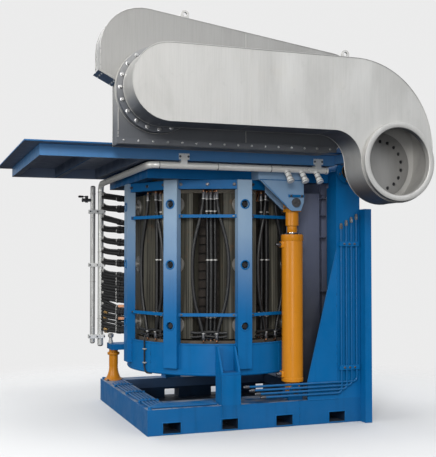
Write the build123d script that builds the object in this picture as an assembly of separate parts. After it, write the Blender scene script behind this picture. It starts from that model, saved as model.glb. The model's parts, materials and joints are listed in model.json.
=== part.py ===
# Steel shell induction melting furnace: a coil furnace body hung on two stanchions,
# tipped by two hydraulic cylinders, with a working deck, a fume hood and a flat fume duct.
# Millimetres, +Z up. The origin is the middle of the skid, on the floor.
# X runs from the charging side to the pouring side, and Y from the front to the rear.
from build123d import *
import math
import os

os.makedirs("parts", exist_ok=True)

# Clearances
SEAT = 0.3
PLAY = 0.05
SIDE_PLAY = 2.0

# Skid
SKID_LENGTH = 2100.0
SKID_DEPTH = 2020.0
SKID_HEIGHT = 228.0
FRONT_BEAM = 400.0
REAR_BEAM = 175.0
SIDE_BEAM = 230.0
PAN_THICKNESS = 12.0
POCKET_WIDTH = 164.0
POCKET_HEIGHT = 92.0
POCKET_FLOOR = 14.0
POCKET_PITCH = 542.0
POCKET_MIDDLE = -15.0

# Stanchions and end posts
STANCHION_WIDTH = 250.0
STANCHION_DEPTH = 200.0
STANCHION_TOP = 2235.0
STANCHION_WALL = 16.0
GUSSET_REACH = 305.0
GUSSET_LOW = 400.0
GUSSET_TOP = 1634.0
GUSSET_THICKNESS = 14.0
POST_WIDTH = 70.0
POST_DEPTH = 250.0
POST_REACH = 100.0
POST_TOP = 2025.0
POST_WALL = 10.0

# Tilt axis and its bearings
TILT_X = 935.0
TILT_Z = 2389.0
SHAFT_RADIUS = 60.0
BUSH_WALL = 12.0
HOUSING_RADIUS = 125.0
HOUSING_DEPTH = 160.0

# Furnace shell
SHELL_X = -95.0
CAGE_INSET = 96.0
CAGE_TOP = 2288.0
COLUMN_COUNT = 8
COLUMN_WIDTH = 140.0
COLUMN_DEPTH = 80.0
COLUMN_FOOT = 535.0
DRUM_INSET = 46.0
DRUM_BOTTOM = 470.0
DRUM_TOP = 765.0
DRUM_WALL = 16.0
RING_HEIGHT = 85.0
RING_WIDTH = 85.0
RAIL_HEIGHT = 30.0
RAIL_LEVELS = (1030.0, 1950.0)
JACK_LEVELS = (928.0, 1496.0, 2061.0)
JACK_RADIUS = 24.0
JACK_HOLE = 35.0
JACK_NUT = 44.0
JACK_NUT_HEIGHT = 26.0
JACK_PAD = 14.0
JACK_PAD_RADIUS = 78.0

# Yokes, coil, lining
YOKE_WIDTH = 330.0
YOKE_DEPTH = 120.0
YOKE_INSET = 259.0
YOKE_BOTTOM = 800.0
YOKE_TOP = 2170.0
COIL_INSET = 55.0
COIL_THICKNESS = 34.0
COIL_TURN_HEIGHT = 62.0
COIL_PITCH = 84.0
COIL_TURNS = 14
COIL_START = 880.0
GROUT_THICKNESS = 20.0
CRUCIBLE_INSET = 170.0
CRUCIBLE_FLOOR = 880.0
BLOCK_OVERLAP = 40.0
BLOCK_BOTTOM = 2180.0
BOTTOM_BLOCK_RISE = 20.0
BOTTOM_BLOCK_GAP = 60.0

# Tilting frame and deck
FRAME_INSET = 119.0
FRAME_BEAM_WIDTH = 120.0
FRAME_BEAM_LEFT = -1000.0
FRAME_BEAM_RIGHT = 1010.0
DECK_FRAME_BOTTOM = 2425.0
DECK_FRAME_HEIGHT = 100.0
DECK_LEFT = -2006.0
DECK_RIGHT = 748.0
DECK_REACH = 70.0
DECK_OVERHANG = 143.0
DECK_PLATE = 12.0
DECK_BEAM = 60.0
DECK_HOLE_MARGIN = 20.0
DECK_CROSS_BEAMS = (-1560.0, -1120.0)
DUCT_BRACKET_WIDTH = 50.0
DUCT_BRACKET_BOTTOM = 2440.0
DUCT_BRACKET_TOP = 2650.0
DUCT_BRACKET_WALL = 12.0
DUCT_BRACKET_GAP = 20.0

# Pour spout
SPOUT_WIDTH = 260.0
SPOUT_END = 1060.0
SPOUT_WALL = 45.0
SPOUT_BOTTOM = 2400.0

# Hydraulic cylinders
CYLINDER_X = 395.0
CYLINDER_INSET = 125.0
CYLINDER_FOOT_Z = 312.0
BARREL_RADIUS = 100.0
BARREL_BORE = 80.0
BARREL_BOTTOM = 397.0
BARREL_TOP = 1781.0
BARREL_FLOOR = 40.0
GLAND_DEPTH = 70.0
PISTON_Z = 457.0
PISTON_DEPTH = 90.0
ROD_RADIUS = 45.0
ROD_END_Z = 2080.0
ROD_END_BOTTOM = 1865.0
EYE_RADIUS = 62.0
EYE_WIDTH = 136.0
STEM_DROP = 85.0
FOOT_EYE_WIDTH = 90.0
FOOT_EYE_RADIUS = 56.0
PIN_RADIUS = 32.0
LUG_THICKNESS = 24.0
BRACKET_LEFT = 16.0
BRACKET_RIGHT = 477.0
CHEEK_THICKNESS = 20.0

# Rests
REST_LEFT = -358.0
REST_RIGHT = -174.0
REST_DEPTH = 210.0
REST_TOP = 496.0
REST_GAP = 8.0
FOOT_TOP = 745.0
FOOT_GUSSET = 18.0
FOOT_INSET = 56.0
POST_REST_X = -930.0
POST_REST_INSET = 110.0
POST_REST_RADIUS = 48.0
POST_REST_FLARE = 92.0
POST_REST_TOP = 566.0
ARM_HEIGHT = 60.0

# Water pipes
PIPE_RADIUS = 31.0
PIPE_BEND = 70.0
MAIN_INSET = 20.0
MAIN_Z = 2382.0
MAIN_RIGHT = 662.0
HEADER_X = -1078.0
HEADER_INSET = 118.0
HEADER_BOTTOM = 615.0
RETURN_X = -1165.0
NOZZLE_X = (256.0, 405.0, 554.0)
NOZZLE_RADIUS = 26.0
NOZZLE_LENGTH = 105.0
LADDER_ROWS = 11
LADDER_TOP = 2245.0
LADDER_PITCH = 118.0
LADDER_INSET = 229.0
TIE_LEVELS = (705.0, 1478.0, 2056.0)
TIE_HALF = 42.0
RETURN_RADIUS = 27.0
HOSE_RADIUS = 17.0
STRAIGHT_HOSES = ((-14.0, 199.0), (22.0, 169.0), (58.0, 191.0))
STRAIGHT_SWAY = 9.0
BOW_MIDDLE = 22.0
BOW_ROOT = 62.0
BOW_START = 14.0
BOW_FINISH = 24.0
BOW_REACHES = ((-1, 110.0), (1, 118.0))
BOW_DROPS = (170.0, 420.0, 640.0)
BOW_RISES = (380.0, 130.0)
BOW_INSET = 109.0
BOW_HOSE_RADIUS = 13.0
COMB_THICKNESS = 16.0
COMB_INNER = (214.0, 119.0, -45.0, 90.0)
COMB_OUTER = (122.0, -105.0, 152.0)
RAIL_THICKNESS = 14.0
RAIL_INSET = 6.0
HOSE_WINDOWS = (-157.5, -112.5, -67.5, 112.5)
TERMINAL_WINDOW = 157.5
TERMINAL_RISES = (54.0, 180.0)
TERMINAL_REACH = 60.0
TERMINAL_SIZE = (60.0, 24.0)
CLIP_PLACES = (-740.0, 575.0)
VALVE_Z = 2180.0
VALVE_REACH = 70.0
VALVE_STEM = 9.0
VALVE_LEVER = 90.0

# Hydraulic pipes
OIL_PIPE_RADIUS = 11.0
OIL_PIPE_COUNT = 5
OIL_PIPE_PITCH = 34.0
RISER_COUNT = 4
RISER_PITCH = 54.0
RISER_STANDOFF = 15.0
RISER_TOP = 1960.0
RISER_BOTTOM = 385.0
PIPE_END_Y = 560.0
OIL_PIPE_BEND = 45.0
CLAMP_LEVELS = (520.0, 1692.0)
CLAMP_MARGIN = 22.0
CLAMP_DEPTH = 30.0
CLAMP_HEIGHT = 44.0

# Flat fume duct
DUCT_STANDOFF = 880.0
DUCT_DEPTH = 310.0
DUCT_TOP = 3264.0
DUCT_END_X = -1095.0
DUCT_ARM_RADIUS = 350.0
DUCT_BEND_INSET = 125.0
DUCT_INNER_SHARE = 0.287
DUCT_SHEET = 8.0
OUTLET_RADIUS = 341.0
OUTLET_BORE = 291.0
OUTLET_REACH = 40.0
COLLAR_INSET = 27.0
SWIVEL_RIM = 46.0
SWIVEL_THICKNESS = 28.0
SWIVEL_GAP = 35.0
SWIVEL_BOLTS = 20
SWIVEL_BOLT = 13.0
SWIVEL_BOLT_INSET = 28.0
FLANGE_THICKNESS = 12.0
FLANGE_HOLES = 18
FLANGE_HOLE = 16.0
FLANGE_CIRCLE = 215.0

# Hood
HOOD_GAP = 120.0
HOOD_DEPTH = 210.0
HOOD_LEFT = -1570.0
HOOD_FOOT_LEFT = -1422.0
HOOD_BOTTOM = 2500.0
HOOD_LIP = (3022.0, 3098.0)
HOOD_LIP_THICKNESS = 14.0
HOOD_RIM_HEIGHT = 52.0
HOOD_RIM_REACH = 24.0
HOOD_CORNER_SHARE = 0.6
HOOD_RIGHT_CORNER = 200.0
HOOD_FOOT_CORNER = 150.0
HOOD_CREST = 3692.0
HOOD_RIGHT = 760.0
HOOD_FOOT_RIGHT = 600.0
HOOD_FALL = 8.0
HOOD_SHEET = 8.0
CANOPY_LEFT = -650.0
CANOPY_RIGHT = 445.0
CANOPY_REAR = 640.0
CANOPY_TOP = 3180.0
CANOPY_SHEET = 8.0
CANOPY_MARGIN = 60.0

# Pour side shield
SHIELD_STANDOFF = 206.0
SHIELD_HALF_ANGLE = 40.0
SHIELD_THICKNESS = 8.0
SHIELD_BOTTOM = 310.0
SHIELD_TOP = 2190.0
SHIELD_ROOT_ANGLE = 45.0
SHIELD_ROOT_HALF = 4.5

# Lifting lugs
LUG_AT_HOOD = -829.0
LUG_AT_DUCT = 515.0
LUG_HALF_WIDTH = 36.0
LUG_EYE = 17.0
LUG_SHEET = 18.0
LUG_RISE = 62.0

# Worked out places
FRONT = -SKID_DEPTH / 2
REAR = SKID_DEPTH / 2
LEFT = -SKID_LENGTH / 2
RIGHT = SKID_LENGTH / 2
CAGE_RADIUS = REAR - CAGE_INSET
DRUM_RADIUS = CAGE_RADIUS - DRUM_INSET
YOKE_FACE = CAGE_RADIUS - YOKE_INSET
YOKE_BACK = YOKE_FACE + YOKE_DEPTH
COIL_RADIUS = YOKE_FACE - COIL_INSET
COIL_INNER = COIL_RADIUS - COIL_THICKNESS / 2
COIL_OUTER = COIL_RADIUS + COIL_THICKNESS / 2
CRUCIBLE_RADIUS = COIL_RADIUS - CRUCIBLE_INSET
BLOCK_RADIUS = COIL_RADIUS + BLOCK_OVERLAP
BOTTOM_DECK_TOP = DRUM_TOP + BOTTOM_BLOCK_RISE
FRAME_BEAM_OUT = CAGE_RADIUS - FRAME_INSET
FRAME_BEAM_IN = FRAME_BEAM_OUT - FRAME_BEAM_WIDTH
SHIELD_RADIUS = CAGE_RADIUS + SHIELD_STANDOFF
CYLINDER_Y = REAR - CYLINDER_INSET
POST_REST_Y = REAR - POST_REST_INSET
HEADER_Y = REAR - HEADER_INSET
LADDER_END = CAGE_RADIUS - LADDER_INSET
DECK_HALF_DEPTH = REAR + DECK_REACH
DECK_HOLE = BLOCK_RADIUS + DECK_HOLE_MARGIN
DECK_BOTTOM = DECK_FRAME_BOTTOM + DECK_FRAME_HEIGHT
DECK_TOP = DECK_BOTTOM + DECK_PLATE
MAIN_Y = MAIN_INSET - DECK_HALF_DEPTH
BUSH_RADIUS = SHAFT_RADIUS + BUSH_WALL
DUCT_FRONT = FRONT - DUCT_STANDOFF
DUCT_BACK = DUCT_FRONT + DUCT_DEPTH
DUCT_INNER_RADIUS = round(DUCT_INNER_SHARE * (DUCT_TOP - TILT_Z))
DUCT_BOTTOM = TILT_Z + DUCT_INNER_RADIUS
DUCT_HEIGHT = DUCT_TOP - DUCT_BOTTOM
DUCT_END_Z = DUCT_TOP - DUCT_HEIGHT / 2
DUCT_BEND_RADIUS = DUCT_TOP - TILT_Z - DUCT_BEND_INSET
COLLAR_RADIUS = DUCT_HEIGHT / 2 - COLLAR_INSET
SWIVEL_RADIUS = DUCT_HEIGHT / 2 + SWIVEL_RIM
SWIVEL_FRONT = DUCT_BACK + SWIVEL_GAP
HOOD_FRONT = DUCT_BACK + HOOD_GAP
HOOD_BACK = HOOD_FRONT + HOOD_DEPTH
HOOD_CORNER = HOOD_CORNER_SHARE * (HOOD_CREST - HOOD_LIP[1])
SIDES = (("front", -1), ("rear", 1))


def block(x0, x1, y0, y1, z0, z1):
    """A box between two corners, given in any order."""
    size = (abs(x1 - x0), abs(y1 - y0), abs(z1 - z0))
    return Pos((x0 + x1) / 2, (y0 + y1) / 2, (z0 + z1) / 2) * Box(*size)


def round_bar(start, end, radius):
    """A round bar from one point to another."""
    start = Vector(*start)
    end = Vector(*end)
    run = end - start
    place = Plane(origin=(start + end) / 2, z_dir=run).location
    return place * Cylinder(radius, run.length)


def crosswise(x, z, y0, y1, radius):
    """A round bar along Y."""
    return round_bar((x, y0, z), (x, y1, z), radius)


def disc_z(radius, z0, z1, x=SHELL_X, y=0.0):
    """An upright round disc or plug."""
    return Pos(x, y, (z0 + z1) / 2) * Cylinder(radius, z1 - z0)


def plate_xz(face, y0, y1):
    """A drawn X and Z outline, given thickness from y0 to y1."""
    low, high = min(y0, y1), max(y0, y1)
    plane = Plane(origin=(0, high, 0), x_dir=(1, 0, 0), z_dir=(0, -1, 0))
    return extrude(plane * face, amount=high - low)


def outline(points):
    return make_face(Polyline(*points, close=True))


def tube(points, bends, radius, bore=0.0):
    """A round pipe or hose along straight runs joined by arcs."""
    path = FilletPolyline(*points, radius=bends) if len(points) > 2 else Line(*points)
    if bends:
        print("pipe radius", radius, "least bend", round(min(bends), 1), "length", round(path.length))
    start = Plane(origin=path @ 0, z_dir=path % 0)
    section = Circle(radius) - Circle(bore) if bore else Circle(radius)
    return sweep(start * section, path=path)


def soft_bends(points):
    """The largest arcs that a hose's runs allow at its corners."""
    spots = [Vector(*p) for p in points]
    radii = []
    for a, b, c in zip(spots, spots[1:], spots[2:]):
        turn = math.radians((b - a).get_angle(c - b))
        shorter = min((b - a).length, (c - b).length)
        radii.append(0.45 * shorter / math.tan(turn / 2))
    return radii


def hose(points, radius):
    return tube(points, soft_bends(points), radius)


def around(radius, angle, z, tangent=0.0):
    """A point beside the furnace axis, by radius, angle and sideways shift."""
    a = math.radians(angle)
    x = SHELL_X + radius * math.cos(a) - tangent * math.sin(a)
    y = radius * math.sin(a) + tangent * math.cos(a)
    return (x, y, z)


def turned(shape, angle):
    """A shape drawn on the +X side of the furnace axis, turned about that axis."""
    return Pos(SHELL_X, 0, 0) * Rot(0, 0, angle) * shape


def column_angles():
    return [i * 360.0 / COLUMN_COUNT for i in range(COLUMN_COUNT)]


def window_angles():
    half = 180.0 / COLUMN_COUNT
    return [a + half for a in column_angles()]


def save(shape, name):
    export_step(shape, f"parts/{name}.step")


def group(shapes):
    """Alike pieces that stay separate solids in one node."""
    solids = []
    for shape in shapes:
        solids += shape.solids()
    return Compound(children=solids)


# Skid
def pocket_centres():
    return [POCKET_MIDDLE + POCKET_PITCH * (i - 1.5) for i in range(4)]


def skid_frame():
    frame = block(LEFT, RIGHT, FRONT, REAR, 0, SKID_HEIGHT)
    inner = (LEFT + SIDE_BEAM, RIGHT - SIDE_BEAM, FRONT + FRONT_BEAM, REAR - REAR_BEAM)
    frame -= block(*inner, -1, SKID_HEIGHT + 1)
    for x in pocket_centres():
        sides = (x - POCKET_WIDTH / 2, x + POCKET_WIDTH / 2)
        frame -= block(*sides, FRONT - 1, REAR + 1, POCKET_FLOOR, POCKET_FLOOR + POCKET_HEIGHT)
    return frame + block(*inner, 0, PAN_THICKNESS)


def stanchion(side):
    """A welded channel column, open on its inner side, with its long gusset."""
    face = side * SKID_DEPTH / 2
    inner = face - side * STANCHION_DEPTH
    left = RIGHT - STANCHION_WIDTH
    wall = STANCHION_WALL
    column = block(left, RIGHT, face, inner, SKID_HEIGHT, STANCHION_TOP)
    recess = (left + wall, RIGHT - wall, face - side * wall, inner - side)
    column -= block(*recess, SKID_HEIGHT + wall, STANCHION_TOP - 2 * wall)
    gusset = outline([
        (left, SKID_HEIGHT), (left - GUSSET_REACH, SKID_HEIGHT),
        (left - GUSSET_REACH, GUSSET_LOW), (left, GUSSET_TOP),
    ])
    return column + plate_xz(gusset, face, face - side * GUSSET_THICKNESS)


def end_post(side):
    """A channel post that stands on the floor against the skid's end."""
    face = side * (SKID_DEPTH / 2 + POST_REACH)
    back = face - side * POST_DEPTH
    post = block(RIGHT, RIGHT + POST_WIDTH, face, back, 0, POST_TOP)
    hollow = (RIGHT + POST_WALL, RIGHT + POST_WIDTH + 1)
    inner = (face - side * POST_WALL, back + side * POST_WALL)
    return post - block(*hollow, *inner, POST_WALL, POST_TOP - POST_WALL)


def bearing_housing(side):
    outer = side * (SKID_DEPTH / 2 - 20)
    inner = outer - side * HOUSING_DEPTH
    half = HOUSING_RADIUS
    foot = block(TILT_X - half, TILT_X + half, outer, inner, STANCHION_TOP, TILT_Z)
    cap = crosswise(TILT_X, TILT_Z, outer, inner, HOUSING_RADIUS)
    return foot + cap - crosswise(TILT_X, TILT_Z, outer + side, inner - side, BUSH_RADIUS)


def bearing_bush(side):
    outer = side * (SKID_DEPTH / 2 - 20)
    inner = outer - side * HOUSING_DEPTH
    bush = crosswise(TILT_X, TILT_Z, outer, inner, BUSH_RADIUS)
    return bush - crosswise(TILT_X, TILT_Z, outer + side, inner - side, SHAFT_RADIUS + PLAY)


def rest_block(side):
    face = side * SKID_DEPTH / 2
    depth = min(REST_DEPTH, REAR_BEAM) if side > 0 else REST_DEPTH
    rest = block(REST_LEFT, REST_RIGHT, face, face - side * depth, SKID_HEIGHT, REST_TOP)
    return rest - disc_z(DRUM_RADIUS + REST_GAP, SKID_HEIGHT, REST_TOP + 1)


def rest_post():
    profile = make_face(
        Line((0, SKID_HEIGHT), (POST_REST_FLARE, SKID_HEIGHT))
        + ThreePointArc(
            (POST_REST_FLARE, SKID_HEIGHT), (POST_REST_RADIUS + 10, SKID_HEIGHT + 70),
            (POST_REST_RADIUS, SKID_HEIGHT + 170),
        )
        + Line((POST_REST_RADIUS, SKID_HEIGHT + 170), (POST_REST_RADIUS, POST_REST_TOP))
        + Line((POST_REST_RADIUS, POST_REST_TOP), (0, POST_REST_TOP))
        + Line((0, POST_REST_TOP), (0, SKID_HEIGHT))
    )
    turned_post = revolve(Plane.XZ * profile, Axis.Z)
    return Pos(POST_REST_X, POST_REST_Y, 0) * turned_post


def foot_lugs(side):
    """Two welded lugs on the skid that hold a cylinder's foot pin."""
    lugs = []
    for hand in (-1, 1):
        near = side * CYLINDER_Y + hand * (FOOT_EYE_WIDTH / 2 + SIDE_PLAY)
        far = near + hand * LUG_THICKNESS
        body = block(CYLINDER_X - 70, CYLINDER_X + 70, near, far, SKID_HEIGHT, CYLINDER_FOOT_Z)
        body += crosswise(CYLINDER_X, CYLINDER_FOOT_Z, near, far, FOOT_EYE_RADIUS)
        reach = side * CYLINDER_Y
        hole = crosswise(CYLINDER_X, CYLINDER_FOOT_Z, reach - 150, reach + 150, PIN_RADIUS)
        lugs.append(body - hole)
    return group(lugs)


def foot_pin(side):
    half = FOOT_EYE_WIDTH / 2 + SIDE_PLAY + LUG_THICKNESS + 12
    y = side * CYLINDER_Y
    return crosswise(CYLINDER_X, CYLINDER_FOOT_Z, y - half, y + half, PIN_RADIUS)


# Hydraulic pipes fixed to the skid and the front stanchion
def skid_pipes():
    """Pipes that lie side by side on the skid's left and front beams."""
    pipes = []
    z = SKID_HEIGHT + OIL_PIPE_RADIUS
    for i in range(OIL_PIPE_COUNT):
        x = LEFT + 45 + i * OIL_PIPE_PITCH
        y = FRONT + 60 + i * OIL_PIPE_PITCH
        points = [(x, PIPE_END_Y + i * 45, z), (x, y, z), (REST_LEFT - 30, y, z)]
        pipes.append(tube(points, [OIL_PIPE_BEND], OIL_PIPE_RADIUS))
    return group(pipes)


def riser_x(i):
    return RIGHT - 45 - i * RISER_PITCH


def riser_pipes():
    """Pipes down the front stanchion that turn and run along over the skid, past the cylinder."""
    pipes = []
    y = FRONT - RISER_STANDOFF
    for i in range(RISER_COUNT):
        z = RISER_BOTTOM - i * OIL_PIPE_PITCH
        x = riser_x(i)
        points = [(x, y, RISER_TOP - 30 * i), (x, y, z), (REST_RIGHT + 40 + 55 * i, y, z)]
        pipes.append(tube(points, [OIL_PIPE_BEND], OIL_PIPE_RADIUS))
    return group(pipes)


def pipe_clamps():
    clamps = []
    right = riser_x(0) + CLAMP_MARGIN
    left = riser_x(RISER_COUNT - 1) - CLAMP_MARGIN
    y = FRONT - RISER_STANDOFF
    for z in CLAMP_LEVELS:
        low, high = z - CLAMP_HEIGHT / 2, z + CLAMP_HEIGHT / 2
        clamp = block(left, right, FRONT, FRONT - CLAMP_DEPTH, low, high)
        for i in range(RISER_COUNT):
            clamp -= disc_z(OIL_PIPE_RADIUS, low - 1, high + 1, riser_x(i), y)
        clamps.append(clamp)
    return group(clamps)


# Furnace shell
def cage_columns():
    columns = []
    inner, half = CAGE_RADIUS - COLUMN_DEPTH, COLUMN_WIDTH / 2
    for angle in column_angles():
        column = block(inner, CAGE_RADIUS, -half, half, COLUMN_FOOT, CAGE_TOP)
        for z in JACK_LEVELS:
            column -= round_bar((inner - 1, 0, z), (CAGE_RADIUS + 1, 0, z), JACK_HOLE)
        columns.append(turned(column, angle))
    return columns


def shell_drum(columns):
    drum = disc_z(DRUM_RADIUS, DRUM_BOTTOM, DRUM_TOP)
    drum -= disc_z(DRUM_RADIUS - DRUM_WALL, DRUM_BOTTOM + DRUM_WALL, DRUM_TOP + 1)
    for column in columns:
        drum -= column
    return drum


def polygon_ring(z0, z1, outer, inner):
    half = 180.0 / COLUMN_COUNT
    wide = outer / math.cos(math.radians(half))
    thin = inner / math.cos(math.radians(half))
    flat = RegularPolygon(wide, COLUMN_COUNT) - RegularPolygon(thin, COLUMN_COUNT)
    ring = extrude(flat, amount=z1 - z0)
    return Pos(SHELL_X, 0, z0) * ring


def flat_radius():
    """The cage's reach at the middle of a window."""
    return CAGE_RADIUS * math.cos(math.radians(180.0 / COLUMN_COUNT))


def top_ring(columns):
    outer = flat_radius()
    ring = polygon_ring(CAGE_TOP - RING_HEIGHT, CAGE_TOP, outer, outer - RING_WIDTH)
    for column in columns:
        ring -= column
    return ring


def side_rails(columns):
    outer = flat_radius() - RAIL_INSET
    rails = []
    for z in RAIL_LEVELS:
        rail = polygon_ring(z - RAIL_HEIGHT / 2, z + RAIL_HEIGHT / 2, outer, outer - RAIL_THICKNESS)
        for column in columns:
            rail -= column
        rails.append(rail)
    return group(rails)


def jack_bolts():
    """Screws through the columns that press the yokes on the coil, with their nuts and rings."""
    bolts = []
    for angle in column_angles():
        for z in JACK_LEVELS:
            bolt = round_bar((YOKE_BACK, 0, z), (CAGE_RADIUS - JACK_PAD, 0, z), JACK_RADIUS)
            nut_start = CAGE_RADIUS - COLUMN_DEPTH
            bolt += round_bar((YOKE_BACK, 0, z), (YOKE_BACK + JACK_PAD, 0, z), JACK_PAD_RADIUS)
            bolt += round_bar((nut_start - JACK_NUT_HEIGHT, 0, z), (nut_start, 0, z), JACK_NUT)
            bolts.append(turned(bolt, angle))
    return group(bolts)


def yokes():
    stacks = []
    half = YOKE_WIDTH / 2
    for angle in column_angles():
        stack = block(YOKE_FACE, YOKE_BACK, -half, half, YOKE_BOTTOM, YOKE_TOP)
        stacks.append(turned(stack, angle))
    return group(stacks)


def coil():
    """The wound copper, with the same gap between all its turns."""
    print("coil gap between turns", COIL_PITCH - COIL_TURN_HEIGHT)
    path = Helix(COIL_PITCH, COIL_PITCH * COIL_TURNS, COIL_RADIUS)
    start = Plane(origin=path @ 0, x_dir=(1, 0, 0), z_dir=path % 0)
    section = start * Rectangle(COIL_THICKNESS, COIL_TURN_HEIGHT)
    place = Pos(SHELL_X, 0, COIL_START + COIL_TURN_HEIGHT / 2)
    return place * sweep(section, path=path, is_frenet=True)


def coil_terminals():
    """Two copper bars that bring the power out between the yokes, low on the charging side."""
    bars = []
    half_width, half_height = TERMINAL_SIZE[0] / 2, TERMINAL_SIZE[1] / 2
    for rise in TERMINAL_RISES:
        z = COIL_START + rise
        end = CAGE_RADIUS + TERMINAL_REACH
        bar = block(COIL_OUTER, end, -half_width, half_width, z - half_height, z + half_height)
        bars.append(turned(bar, TERMINAL_WINDOW))
    return group(bars)


def lining():
    """The rammed crucible, from its thick floor to its rim."""
    outer = COIL_INNER - GROUT_THICKNESS - SEAT
    body = disc_z(outer, BOTTOM_DECK_TOP, BLOCK_BOTTOM)
    return body - disc_z(CRUCIBLE_RADIUS, CRUCIBLE_FLOOR, BLOCK_BOTTOM + 1)


def coil_grout():
    outer = COIL_INNER - SEAT
    sleeve = disc_z(outer, BOTTOM_DECK_TOP, BLOCK_BOTTOM)
    return sleeve - disc_z(outer - GROUT_THICKNESS, BOTTOM_DECK_TOP - 1, BLOCK_BOTTOM + 1)


def bottom_block():
    return disc_z(DRUM_RADIUS - DRUM_WALL - BOTTOM_BLOCK_GAP, DRUM_BOTTOM + DRUM_WALL, BOTTOM_DECK_TOP)


def top_block():
    body = disc_z(BLOCK_RADIUS, BLOCK_BOTTOM, DECK_TOP)
    body -= disc_z(CRUCIBLE_RADIUS, BLOCK_BOTTOM - 1, DECK_TOP + 1)
    half = SPOUT_WIDTH / 2
    return body - block(SHELL_X, SHELL_X + BLOCK_RADIUS + 1, -half, half, SPOUT_BOTTOM, DECK_TOP + 1)


def spout():
    x0 = SHELL_X + math.sqrt(CRUCIBLE_RADIUS**2 - (SPOUT_WIDTH / 2) ** 2) + 10
    half = SPOUT_WIDTH / 2 - SEAT
    trough = block(x0, SPOUT_END, -half, half, SPOUT_BOTTOM, DECK_TOP - 10)
    inner = half - SPOUT_WALL
    return trough - block(x0 - 1, SPOUT_END + 1, -inner, inner, SPOUT_BOTTOM + SPOUT_WALL, DECK_TOP)


def body_foot(side):
    """The bracket low on the shell that comes down on a rest block."""
    face = side * (SKID_DEPTH / 2 - 15)
    back = side * (DRUM_RADIUS - FOOT_INSET)
    low = REST_TOP + SEAT
    foot = block(REST_LEFT, REST_RIGHT, face, back, low, low + 22)
    y0, y1 = abs(back), abs(face)
    for x in (REST_LEFT, REST_RIGHT - FOOT_GUSSET):
        gusset = outline([(y0, low), (y1, low), (y1, low + 30), (y0 + 70, FOOT_TOP), (y0, FOOT_TOP)])
        plane = Plane(origin=(x, 0, 0), x_dir=(0, side, 0), z_dir=(side, 0, 0))
        foot += extrude(plane * gusset, amount=side * FOOT_GUSSET)
    return foot - disc_z(DRUM_RADIUS, DRUM_BOTTOM, DRUM_TOP)


def rest_arm():
    """The bar from the shell that comes down on the rest post."""
    low = POST_REST_TOP + SEAT
    sides = (POST_REST_Y - 170, POST_REST_Y + 60)
    return block(POST_REST_X - 60, SHELL_X - 560, *sides, low, low + ARM_HEIGHT)


def mirrored(point):
    return (point[0], -point[1])


def side_shield():
    """The bent heat shield round the pouring side of the shell."""
    rows = []
    for r, shift in ((SHIELD_RADIUS, SHIELD_ROOT_HALF), (SHIELD_RADIUS - SHIELD_THICKNESS, -SHIELD_ROOT_HALF)):
        end = around(r, SHIELD_HALF_ANGLE, 0)[:2]
        root = around(CAGE_RADIUS + SEAT, SHIELD_ROOT_ANGLE, 0, shift)[:2]
        rows.append((end, (SHELL_X + r, 0), root))
    (o_end, o_mid, o_root), (i_end, i_mid, i_root) = rows
    edges = [
        ThreePointArc(mirrored(o_end), o_mid, o_end),
        Line(o_end, o_root),
        Line(o_root, i_root),
        Line(i_root, i_end),
        ThreePointArc(i_end, i_mid, mirrored(i_end)),
        Line(mirrored(i_end), mirrored(i_root)),
        Line(mirrored(i_root), mirrored(o_root)),
        Line(mirrored(o_root), mirrored(o_end)),
    ]
    return Pos(0, 0, SHIELD_BOTTOM) * extrude(make_face(edges), amount=SHIELD_TOP - SHIELD_BOTTOM)


# Tilting frame
def tilting_frame():
    """The two long beams, with the shafts' bosses, and the two cross beams."""
    low, high = CAGE_TOP, DECK_FRAME_BOTTOM
    y0, y1 = FRAME_BEAM_IN, FRAME_BEAM_OUT
    frame = block(FRAME_BEAM_LEFT, FRAME_BEAM_LEFT + 100, -y0, y0, low, high)
    cross = BLOCK_RADIUS + SHELL_X
    frame += block(cross + 40, cross + 120, -y0, y0, low, SPOUT_BOTTOM - SEAT)
    for name, side in SIDES:
        frame += block(FRAME_BEAM_LEFT, FRAME_BEAM_RIGHT, side * y0, side * y1, low, high)
        frame += crosswise(TILT_X, TILT_Z, side * y0, side * y1, HOUSING_RADIUS - 25)
        frame -= crosswise(TILT_X, TILT_Z, side * (y0 - 1), side * (y1 + 1), SHAFT_RADIUS)
    return frame


def trunnion(side):
    outer = side * (SKID_DEPTH / 2 + 5) if side > 0 else DUCT_BACK + 20
    shaft = crosswise(TILT_X, TILT_Z, side * FRAME_BEAM_IN, outer, SHAFT_RADIUS)
    if side < 0:
        shaft += crosswise(TILT_X, TILT_Z, DUCT_BACK, DUCT_BACK + 20, HOUSING_RADIUS)
    return shaft


def cylinder_bracket(side):
    """Two cheeks and a top block under the deck that take a cylinder's rod eye."""
    y = side * CYLINDER_Y
    gap = EYE_WIDTH / 2 + SIDE_PLAY
    inner_face = side * FRAME_BEAM_OUT
    tip_left, tip_right = CYLINDER_X - 75, CYLINDER_X + 70
    tip = ROD_END_Z - EYE_RADIUS - 16
    cheek = outline([
        (BRACKET_LEFT, CAGE_TOP + 20), (BRACKET_LEFT + 20, CAGE_TOP - 10),
        (tip_left, tip + 20), (tip_left + 30, tip), (tip_right - 20, tip),
        (BRACKET_RIGHT, tip + 80), (BRACKET_RIGHT, CAGE_TOP + 20),
    ])
    outer = y + side * gap
    bracket = plate_xz(cheek, outer, outer + side * CHEEK_THICKNESS)
    bracket += plate_xz(cheek, y - side * gap, inner_face)
    face = outer + side * CHEEK_THICKNESS
    bracket += block(BRACKET_LEFT, BRACKET_RIGHT, inner_face, face, CAGE_TOP, DECK_FRAME_BOTTOM)
    return bracket - polygon_ring(DRUM_TOP, CAGE_TOP, flat_radius(), BLOCK_RADIUS)


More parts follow.
